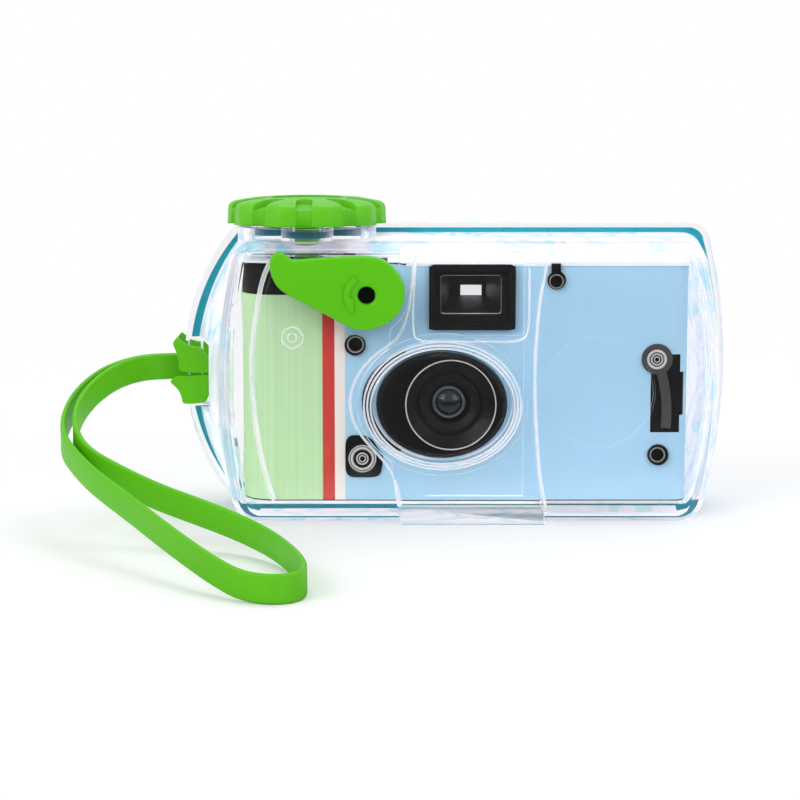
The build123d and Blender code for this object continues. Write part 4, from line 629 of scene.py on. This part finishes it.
# Shutter lever: a flat teardrop of the same plastic in a deeper green, with a raised arrow,
# pressed on a black shaft whose end shows in its hole.
def arc(centre, radius, degrees):
    """Points at the given angles round a centre, in mm."""
    points = []
    for turn in degrees:
        angle = math.radians(turn)
        points.append((centre[0] + radius * math.cos(angle), centre[1] + radius * math.sin(angle)))
    return tuple(points)


lever_green = moulded_plastic(
    "lever_green", printed_shade(88, 190, 0), finish=0.34, mottle=0.06, relief=0.000006, specular=0.25,
)
shaft_centre = (-20.0, 52.3)
lever_outline = (
    (-39.5, 61.9), (-38.2, 61.5), (-37.2, 60.6), (-36.3, 60.05), (-34.6, 60.2), (-30.5, 60.6), (-25.8, 60.85),
    (-21.8, 61.0), (-18.2, 60.9), (-15.5, 59.8), (-13.5, 57.9), (-12.0, 55.6), (-11.4, 53.2), (-11.7, 50.6),
    (-12.8, 48.4), (-14.4, 46.7), (-16.4, 45.5), (-18.5, 44.8), (-20.4, 44.5), (-22.3, 44.6), (-24.0, 45.2),
    (-30.5, 48.8), (-37.6, 52.4), (-39.8, 54.1), (-41.2, 56.9), (-41.5, 59.7), (-40.7, 61.5),
)
shaft_hole = arc(shaft_centre, radius=1.97, degrees=range(0, -360, -18))
lever = flat_blank("teardrop_lever", lever_outline, thickness=3.3, edge=0.75, front=23.9, holes=(shaft_hole,))
fitted(lever, lever_green, "lever", "lime_plastic", "shutter_lever")
arrow_head = ((-22.85, 48.6), (-22.85, 51.7), (-23.65, 51.7))
arrow_back = arc(shaft_centre, radius=5.1, degrees=range(122, 242, 12))
arrow_belly = arc(shaft_centre, radius=3.7, degrees=range(180, 108, -12))
arrow_outline = arrow_back + arrow_head + arrow_belly
arrow = flat_blank("lever_arrow", arrow_outline, thickness=0.8, edge=0.1, front=24.4, rounded=False)
fitted(arrow, lever_green, "lever", "lime_plastic")


# Black mouldings of the camera inside: covers, chassis, wheels and shaft, in satin black
# polystyrene with a fine spark-eroded grain. They are clipped together round the film.
def dress(finish, *names):
    """Gives pieces that keep their own shape the finish of their material."""
    for name in names:
        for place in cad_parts[name].material_slots:
            place.material = finish


spark_grain = {"grain": 400.0, "relief": 0.0000006}
satin_black = moulded_plastic(
    "satin_black", printed_shade(14, 14, 15), finish=0.42, mottle=0.25, specular=0.15, **spark_grain,
)
dress(
    satin_black, "lever_shaft", "front_cover", "rear_cover", "camera_body", "viewfinder_frame",
    "release_arm", "lens_barrel", "ratchet_pawl", "winding_wheel", "film_sprocket", "supply_spool",
    "cassette_spool", "striker", "shutter_blade",
)


# Printed card: one sheet of coated card folded round the camera, green at the winding end
# with faint paler vertical streaks, painted light of fine flutes, then a red and a cream stripe,
# and plain sky blue to the far end.
# Its white top flap is cut out for the knob and the button, and a lip turns down in front.
def printed_card():
    """Coated card printed in flat bands across the front, with painted light of fine flutes on the green band
    and the fibre of the board under it.
    """
    material, tree, shader = new_finish("printed_card")
    nodes, links = tree.nodes, tree.links
    place = nodes.new("ShaderNodeTexCoord")
    axes = nodes.new("ShaderNodeSeparateXYZ")
    links.new(place.outputs["Object"], axes.inputs["Vector"])
    across = dialled(nodes.new("ShaderNodeMapRange"), {"From Min": -0.050, "From Max": 0.050})
    links.new(axes.outputs["X"], across.inputs["Value"])
    band_node = nodes.new("ShaderNodeValToRGB")
    bands = band_node.color_ramp
    bands.interpolation = "CONSTANT"
    green_end = 0.1974
    bands.elements[0].color = printed_shade(185, 223, 167)
    bands.elements[1].position = green_end
    bands.elements[1].color = printed_shade(207, 60, 55)
    bands.elements.new(0.2264).color = printed_shade(243, 234, 226)
    bands.elements.new(0.2490).color = printed_shade(171, 212, 236)
    links.new(across.outputs["Result"], band_node.inputs["Fac"])
    # Paler vertical streaks on the green band are painted light of fine flutes, not print.
    flute_light_noise = nodes.new("ShaderNodeTexNoise")
    flute_light_noise.noise_dimensions = "1D"
    dialled(flute_light_noise, {"Scale": 900.0, "Detail": 1.0})
    links.new(axes.outputs["X"], flute_light_noise.inputs["W"])
    on_green = worked_out(tree, "LESS_THAN", across.outputs["Result"], green_end)
    flute_light_share = worked_out(tree, "MULTIPLY", flute_light_noise.outputs["Fac"], on_green)
    pale = nodes.new("ShaderNodeMix")
    pale.data_type = "RGBA"
    pale.inputs["B"].default_value = (1.0, 1.0, 1.0, 1.0)
    links.new(worked_out(tree, "MULTIPLY", flute_light_share, 0.22), pale.inputs["Factor"])
    links.new(band_node.outputs["Color"], pale.inputs["A"])
    fibre = skinned(tree, shader, 0.000004, Mottle=0.05, Grain=1800.0, Finish=0.46, Rub=0.10)
    links.new(pale.outputs["Result"], fibre.inputs["Colour"])
    shader.inputs["Specular IOR Level"].default_value = 0.3
    return material


card_print = printed_card()
dress(card_print, "card_label")
flap_white = moulded_plastic(
    "flap_white", printed_shade(240, 244, 248), finish=0.5, mottle=0.04, grain=1500.0, relief=0.000003,
)
bpy.ops.object.select_all(action="DESELECT")
bpy.ops.mesh.primitive_cylinder_add(
    vertices=48, radius=0.0098, depth=0.004, location=(knob_across, knob_back, 0.059),
)
knob_opening = bpy.context.active_object
bpy.ops.object.select_all(action="DESELECT")
bpy.ops.mesh.primitive_cube_add(size=1.0, location=(-0.0221, -0.01125, 0.059))
button_opening = bpy.context.active_object
button_opening.scale = (0.0134, 0.0115, 0.004)
bpy.ops.object.transform_apply(location=True, rotation=True, scale=True)
top_openings = (knob_opening, button_opening)
for name, middle, size, edge, openings in (
    ("card_top_flap", (0.002, 0.0, 0.05895), (0.1002, 0.0310, 0.0003), 0.00006, top_openings),
    ("card_top_lip", (0.0205, -0.01558, 0.05868), (0.0635, 0.0002, 0.0010), 0.00005, ()),
    ("card_lower_flap", (0.002, 0.0, 0.00445), (0.1006, 0.0310, 0.0003), 0.0001, ()),
):
    flap = squared_block(name, middle, size, edge, openings=openings)
    fitted(flap, flap_white, "housing", "printed_card")

# The card's print goes on below the lever, round its shaft and up to the top flap.
card_front = 15.5
card_thickness = 0.3
flap_level = 58.9
collar_radius = 10.25
collar_steps = 48
collar = []
for step in range(collar_steps):
    angle = 2.0 * math.pi * step / collar_steps
    height = shaft_centre[1] + collar_radius * math.sin(angle)
    if height < flap_level:
        collar.append((shaft_centre[0] + collar_radius * math.cos(angle), height))
card_collar = flat_blank(
    "card_collar", tuple(collar), thickness=card_thickness, edge=0.03, front=card_front, rounded=False,
)
fitted(card_collar, card_print, "housing", "printed_card")


# Lens group: a glossy black oval with a dished well, a ring with a thin bright edge painted on as
# a highlight, a bluish grey ring of painted reflection round the dome, and a single plastic
# meniscus lens behind a small coated dome. All are clipped in the front cover.
def thin_rim(name, centre, radius, width, front, finish, record_slot="grey_plastic"):
    """A fine raised ring, flat on its back, where a moulded edge catches the light; in a pale finish it is a
    painted highlight.
    """
    back = -front / mm_per_metre
    bpy.ops.object.select_all(action="DESELECT")
    bpy.ops.mesh.primitive_torus_add(
        major_radius=radius / mm_per_metre, minor_radius=width / 2.0 / mm_per_metre,
        major_segments=64, minor_segments=10, rotation=(math.radians(90.0), 0.0, 0.0),
        location=(centre[0] / mm_per_metre, back, centre[1] / mm_per_metre),
    )
    rim = bpy.context.active_object
    rim.name = name
    bpy.ops.object.transform_apply(location=True, rotation=True, scale=True)
    for vertex in rim.data.vertices:
        vertex.co.y = min(vertex.co.y, back)
    bpy.ops.object.shade_smooth_by_angle(angle=math.radians(50.0))
    return fitted(rim, finish, "housing", record_slot)


gloss_black = moulded_plastic(
    "gloss_black", printed_shade(9, 9, 10), finish=0.2, mottle=0.2, specular=0.18, **spark_grain,
)
lens_clear = clear_plastic("lens_clear", tint=(0.96, 0.97, 1.0, 1.0), finish=0.0, index=1.49)
ring_grey = moulded_plastic(
    "ring_grey", printed_shade(5, 5, 6), finish=0.3, mottle=0.2, specular=0.08, **spark_grain,
)
# Pale rim colour: a painted highlight on bright moulded edges.
pale_rim_highlight = moulded_plastic(
    "pale_rim_highlight", printed_shade(205, 200, 196), finish=0.28, mottle=0.15, grain=2600.0, relief=0.000004,
)
# Bluish grey of the ring round the dome: painted reflection on the lens glass.
lens_reflection_grey = moulded_plastic(
    "lens_reflection_grey", printed_shade(74, 80, 92), finish=0.25, mottle=0.4, grain=300.0, relief=0.0000006,
)
coated_glass = moulded_plastic(
    "coated_glass", printed_shade(14, 16, 22), finish=0.05,
    mottle=0.3, grain=300.0, relief=0.0, rub=0.02, specular=0.45,
)
finished_copy("lens_surround", "oval_surround", "gloss_black", gloss_black)
finished_copy("taking_lens", "meniscus_lens", "lens_plastic", lens_clear)
dress(ring_grey, "lens_ring")
thin_rim("lens_bright_ring", (-1.2, 27.3), radius=10.1, width=0.28, front=19.39, finish=pale_rim_highlight)
thin_rim("lens_reflection_ring", (-1.6, 27.6), radius=3.3, width=0.8, front=16.6, finish=lens_reflection_grey)
thin_rim(
    "lens_inner_ring", (-1.3, 27.4), radius=7.1, width=0.3, front=17.5,
    finish=gloss_black, record_slot="gloss_black",
)
bpy.ops.object.select_all(action="DESELECT")
bpy.ops.mesh.primitive_uv_sphere_add(
    segments=48, ring_count=24, radius=0.0042,
    location=(-0.0016, -0.01395, 0.0276), rotation=(math.radians(90.0), 0.0, 0.0),
)
lens_dome = bpy.context.active_object
lens_dome.name = "lens_front_element"
bpy.ops.object.transform_apply(location=True, rotation=True, scale=True)
bpy.ops.object.mode_set(mode="EDIT")
bpy.ops.mesh.select_all(action="SELECT")
bpy.ops.mesh.bisect(plane_co=(0.0, -0.0152, 0.0), plane_no=(0.0, 1.0, 0.0), clear_outer=True, use_fill=True)
bpy.ops.object.mode_set(mode="OBJECT")
bpy.ops.object.shade_smooth_by_angle(angle=math.radians(40.0))
fitted(lens_dome, coated_glass, "housing", "lens_plastic")

# The dark gap that shows between the surround and the port at the left is a thin sickle.
plate_front = card_front + card_thickness
sickle_steps = 18
sickle_turns = [math.radians(120.0 + step * 6.4) for step in range(sickle_steps + 1)]
sickle = []
for step, angle in enumerate(sickle_turns):
    swell = 1.5 * math.sin(math.pi * step / sickle_steps)
    across = port_centre[0] + (16.6 + swell) * math.cos(angle)
    height = port_centre[1] + (13.5 + swell) * math.sin(angle)
    sickle.append((across, height))
for angle in reversed(sickle_turns):
    sickle.append((port_centre[0] + 16.0 * math.cos(angle), port_centre[1] + 12.9 * math.sin(angle)))
port_edge = flat_blank("port_edge", tuple(sickle), thickness=0.3, edge=0.04, front=plate_front, rounded=False)
fitted(port_edge, satin_black, "housing", "black_plastic")


# Posts, boss and latch: black posts of the front cover come through the card, with a boss at
# the lower left and the eye of the latch at the right. Their moulded edges catch the
# light, and the pale and grey rims on them are painted highlights.
# Grey rim colour: a dimmer painted highlight on the posts' edges.
dim_rim_highlight = moulded_plastic(
    "dim_rim_highlight", printed_shade(150, 142, 134), finish=0.3, mottle=0.2, grain=2600.0, relief=0.000004,
)
boss_centre = (-21.1, 14.6)
latch_centre = (45.2, 37.2)
post_front = 16.29
latch_front = 16.19
for name, centre, radius, width, front, finish in (
    ("post_a_rim", (-22.6, 40.6), 1.75, 0.36, post_front, dim_rim_highlight),
    ("boss_outer_rim", boss_centre, 3.0, 0.28, post_front, pale_rim_highlight),
    ("boss_middle_rim", boss_centre, 2.4, 0.62, post_front, pale_rim_highlight),
    ("boss_inner_rim", boss_centre, 1.25, 0.36, post_front, pale_rim_highlight),
    ("boss_pip_rim", boss_centre, 0.7, 0.3, post_front, pale_rim_highlight),
    ("post_c_rim", (22.4, 54.8), 1.5, 0.26, post_front, dim_rim_highlight),
    ("latch_outer_rim", latch_centre, 1.95, 0.6, latch_front, pale_rim_highlight),
    ("latch_middle_rim", latch_centre, 1.2, 0.36, latch_front, pale_rim_highlight),
    ("latch_pip_rim", latch_centre, 0.6, 0.26, latch_front, pale_rim_highlight),
    ("post_e_rim", (45.6, 15.5), 1.6, 0.3, post_front, dim_rim_highlight),
):
    thin_rim(name, centre, radius, width, front, finish)
boss_plate = flat_blank("boss_plate", (
    (-24.9, 19.9), (-25.0, 14.9), (-24.9, 10.3), (-21.0, 10.2), (-17.2, 10.3), (-16.6, 12.6),
    (-16.3, 15.6), (-17.6, 17.0), (-19.0, 19.4), (-21.0, 19.9),
), thickness=0.3, edge=0.05, front=plate_front)
post_block_outline = ((21.3, 56.1), (23.4, 56.1), (23.4, 58.8), (21.3, 58.8))
post_block = flat_blank(
    "post_block", post_block_outline, thickness=0.8, edge=0.1, front=16.3, rounded=False,
)
latch_pin = flat_blank("latch_pin", ellipse(latch_centre, 1.0, 1.0), thickness=1.0, edge=0.05, front=16.2)
for piece in (boss_plate, post_block, latch_pin):
    fitted(piece, gloss_black, "housing", "black_plastic")


# Finder: two small clear plastic lenses pressed in at the ends of the tunnel, and a black
# sheet behind, painted shade for the dark seen through the lenses, that leaves only a small
# bright window.
# Black sheet in the tunnel: painted shade for the dark inside, seen through the finder lenses.
bpy.ops.object.select_all(action="DESELECT")
bpy.ops.mesh.primitive_plane_add(
    size=1.0, location=(0.0042, 0.0131, 0.0497), rotation=(math.radians(90.0), 0.0, 0.0),
)
finder_shade = bpy.context.active_object
finder_shade.name = "finder_painted_shade"
finder_shade.scale = (0.0120, 0.0104, 1.0)
bpy.ops.object.transform_apply(location=True, rotation=True, scale=True)
bpy.ops.object.mode_set(mode="EDIT")
bpy.ops.mesh.select_all(action="SELECT")
bpy.ops.mesh.inset(thickness=0.0035, depth=0.0)
bpy.ops.mesh.delete(type="ONLY_FACE")
bpy.ops.object.mode_set(mode="OBJECT")
plate = finder_shade.modifiers.new("plate", "SOLIDIFY")
plate.thickness = 0.0004
plate.offset = 0.0
bpy.ops.object.modifier_apply(modifier=plate.name)
fitted(finder_shade, satin_black, "housing", "black_plastic")
finished_copy("viewfinder_front_lens", "finder_front", "lens_plastic", lens_clear)
finished_copy("viewfinder_rear_lens", "finder_rear", "lens_plastic", lens_clear)
dress(lens_clear, "counter_window")


# Metal and film: springs and a clip of bright drawn wire, a lacquered tin cassette, and a
# strip of grey-brown film rolled on the spools. The lever's seal is a black rubber ring.
def drawn_lines():
    """Effect on bright metal: the fine lines of drawing or rolling along it."""
    effect, given, result = new_effect(
        "drawn_lines",
        (("Colour", "Color"), ("Finish", "Float"), ("Lay", "Float")),
        (("Colour", "Color"), ("Roughness", "Float")),
    )
    nodes, links = effect.nodes, effect.links
    place = nodes.new("ShaderNodeTexCoord")
    stretch = dialled(nodes.new("ShaderNodeMapping"), {"Scale": (1.0, 1.0, 0.08)})
    lay = dialled(nodes.new("ShaderNodeTexNoise"), {"Detail": 4.0})
    links.new(place.outputs["Object"], stretch.inputs["Vector"])
    links.new(stretch.outputs["Vector"], lay.inputs["Vector"])
    links.new(given["Lay"], lay.inputs["Scale"])
    darker = nodes.new("ShaderNodeVectorMath")
    darker.operation = "SCALE"
    darker.inputs["Scale"].default_value = 0.8
    links.new(given["Colour"], darker.inputs["Vector"])
    tone = nodes.new("ShaderNodeMix")
    tone.data_type = "RGBA"
    links.new(given["Colour"], tone.inputs["A"])
    links.new(darker.outputs["Vector"], tone.inputs["B"])
    links.new(lay.outputs["Fac"], tone.inputs["Factor"])
    links.new(tone.outputs["Result"], result["Colour"])
    rough = nodes.new("ShaderNodeMapRange")
    links.new(lay.outputs["Fac"], rough.inputs["Value"])
    links.new(given["Finish"], rough.inputs["To Min"])
    links.new(worked_out(effect, "ADD", given["Finish"], 0.15), rough.inputs["To Max"])
    links.new(rough.outputs["Result"], result["Roughness"])
    return effect


metal_effect = drawn_lines()


def drawn_metal(name, colour, finish, lay):
    """Bright metal with the lines of its making."""
    material, tree, shader = new_finish(name)
    shader.inputs["Metallic"].default_value = 1.0
    lines = tree.nodes.new("ShaderNodeGroup")
    lines.node_tree = metal_effect
    dialled(lines, {"Colour": colour, "Finish": finish, "Lay": lay})
    tree.links.new(lines.outputs["Colour"], shader.inputs["Base Color"])
    tree.links.new(lines.outputs["Roughness"], shader.inputs["Roughness"])
    return material


spring_steel = drawn_metal("spring_steel", printed_shade(190, 190, 192), finish=0.22, lay=1500.0)
tinplate = drawn_metal("tinplate", printed_shade(200, 200, 198), finish=0.3, lay=500.0)
film_brown = moulded_plastic(
    "film_brown", printed_shade(92, 66, 54), finish=0.2, mottle=0.1, grain=3000.0, relief=0.000002,
)
seal_black = moulded_plastic("seal_black", printed_shade(22, 22, 22), finish=0.5)
dress(spring_steel, "lever_spring", "striker_spring", "blade_spring", "knob_clip")
dress(tinplate, "film_cassette")
dress(film_brown, "film_strip", "film_roll")
dress(seal_black, "lever_seal")


# Small pale and grey mouldings: the counter dial under its window, the shutter button below
# the release arm, and the latch arm at the right-hand end, each snapped on its pin.
dial_white = moulded_plastic("dial_white", printed_shade(232, 232, 228), finish=0.4)
dress(dial_white, "counter_dial", "shutter_button")
latch_grey = moulded_plastic(
    "latch_grey", printed_shade(68, 65, 62), finish=0.3, mottle=0.5, grain=400.0, relief=0.000002,
)
dress(latch_grey, "cover_latch")


# The table: a plain white matt sheet under the camera. Far off it runs out into white light,
# and ahead of the camera it is dark for mirrored rays, so that the blacks stay black.
bpy.ops.object.select_all(action="DESELECT")
bpy.ops.mesh.primitive_plane_add(size=12.0, location=(0.0, 0.0, 0.0))
table_top = bpy.context.active_object
table_top.name = "table_top"
paper, paper_tree, paper_shader = new_finish("paper_white")
dialled(paper_shader, {"Base Color": (0.94, 0.94, 0.94, 1.0), "Roughness": 0.9, "Specular IOR Level": 0.0})
paper_nodes, paper_links = paper_tree.nodes, paper_tree.links
spread = paper_nodes.new("ShaderNodeTexCoord")
reach = paper_nodes.new("ShaderNodeVectorMath")
reach.operation = "LENGTH"
paper_links.new(spread.outputs["Object"], reach.inputs[0])
far_off = paper_nodes.new("ShaderNodeMapRange")
far_off.interpolation_type = "SMOOTHSTEP"
dialled(far_off, {"From Min": 0.10, "From Max": 0.34})
paper_links.new(reach.outputs["Value"], far_off.inputs["Value"])
ahead = paper_nodes.new("ShaderNodeSeparateXYZ")
paper_links.new(spread.outputs["Object"], ahead.inputs["Vector"])
dim_ahead = dialled(
    paper_nodes.new("ShaderNodeMapRange"), {"From Min": -0.05, "From Max": -0.09, "To Max": 0.9},
)
paper_links.new(ahead.outputs["Y"], dim_ahead.inputs["Value"])
rays = paper_nodes.new("ShaderNodeLightPath").outputs
seen_rays = worked_out(paper_tree, "MAXIMUM", rays["Is Camera Ray"], rays["Is Transmission Ray"])
white_share = worked_out(paper_tree, "MULTIPLY", seen_rays, far_off.outputs["Result"])
dark_share = worked_out(paper_tree, "MULTIPLY", dim_ahead.outputs["Result"], rays["Is Glossy Ray"])
white_light = dialled(paper_nodes.new("ShaderNodeEmission"), {"Strength": 1.0}).outputs["Emission"]
unlit = dialled(paper_nodes.new("ShaderNodeEmission"), {"Strength": 0.03}).outputs["Emission"]
run_out = shared_between(paper_tree, white_share, paper_shader.outputs["BSDF"], white_light)
sheet = shared_between(paper_tree, dark_share, run_out, unlit)
paper_links.new(sheet, paper_nodes["Material Output"].inputs["Surface"])
table_top.data.materials.append(paper)


# The room: white all round for the eye, a little cooler and dimmer as light, and dark ahead
# for mirrored rays. Three soft square lamps hang above it, to the left and to the right.
room = bpy.data.worlds.new("room")
bpy.context.scene.world = room
room.use_nodes = True
room_nodes, room_links = room.node_tree.nodes, room.node_tree.links
room_nodes.clear()
aim = room_nodes.new("ShaderNodeTexCoord")
aim_axes = room_nodes.new("ShaderNodeSeparateXYZ")
room_links.new(aim.outputs["Generated"], aim_axes.inputs["Vector"])
dark_front = room_nodes.new("ShaderNodeMapRange")
dialled(dark_front, {"From Min": -0.95, "From Max": -0.45, "To Min": 0.03, "To Max": 1.0})
room_links.new(aim_axes.outputs["Y"], dark_front.inputs["Value"])
mirrored = room_nodes.new("ShaderNodeBackground")
room_links.new(dark_front.outputs["Result"], mirrored.inputs["Strength"])
seen = dialled(room_nodes.new("ShaderNodeBackground"), {"Color": (1.0, 1.0, 1.0, 1.0), "Strength": 1.0})
lighting = room_nodes.new("ShaderNodeBackground")
dialled(lighting, {"Color": (0.98, 0.99, 1.0, 1.0), "Strength": 0.62})
rays = room_nodes.new("ShaderNodeLightPath").outputs
shown = worked_out(room.node_tree, "MAXIMUM", rays["Is Camera Ray"], rays["Is Transmission Ray"])
lit = shared_between(
    room.node_tree, rays["Is Glossy Ray"], lighting.outputs["Background"], mirrored.outputs["Background"],
)
walls = shared_between(room.node_tree, shown, lit, seen.outputs["Background"])
room_links.new(walls, room_nodes.new("ShaderNodeOutputWorld").inputs["Surface"])
for name, place, turn, size, power in (
    ("top_lamp", (0.15, 0.25, 1.1), (0.0, 0.0, 0.0), 0.9, 5.0),
    ("left_lamp", (-0.9, -0.8, 0.7), (math.radians(62.0), 0.0, math.radians(-48.0)), 0.8, 5.5),
    ("right_lamp", (0.8, -0.9, 0.5), (math.radians(70.0), 0.0, math.radians(42.0)), 0.7, 3.0),
):
    lamp_light = bpy.data.lights.new(name, "AREA")
    lamp_light.shape = "SQUARE"
    lamp_light.size = size
    lamp_light.energy = power
    lamp = bpy.data.objects.new(name, lamp_light)
    lamp.location = place
    lamp.rotation_euler = turn
    bpy.context.scene.collection.objects.link(lamp)

bpy.context.scene.view_settings.view_transform = "Standard"
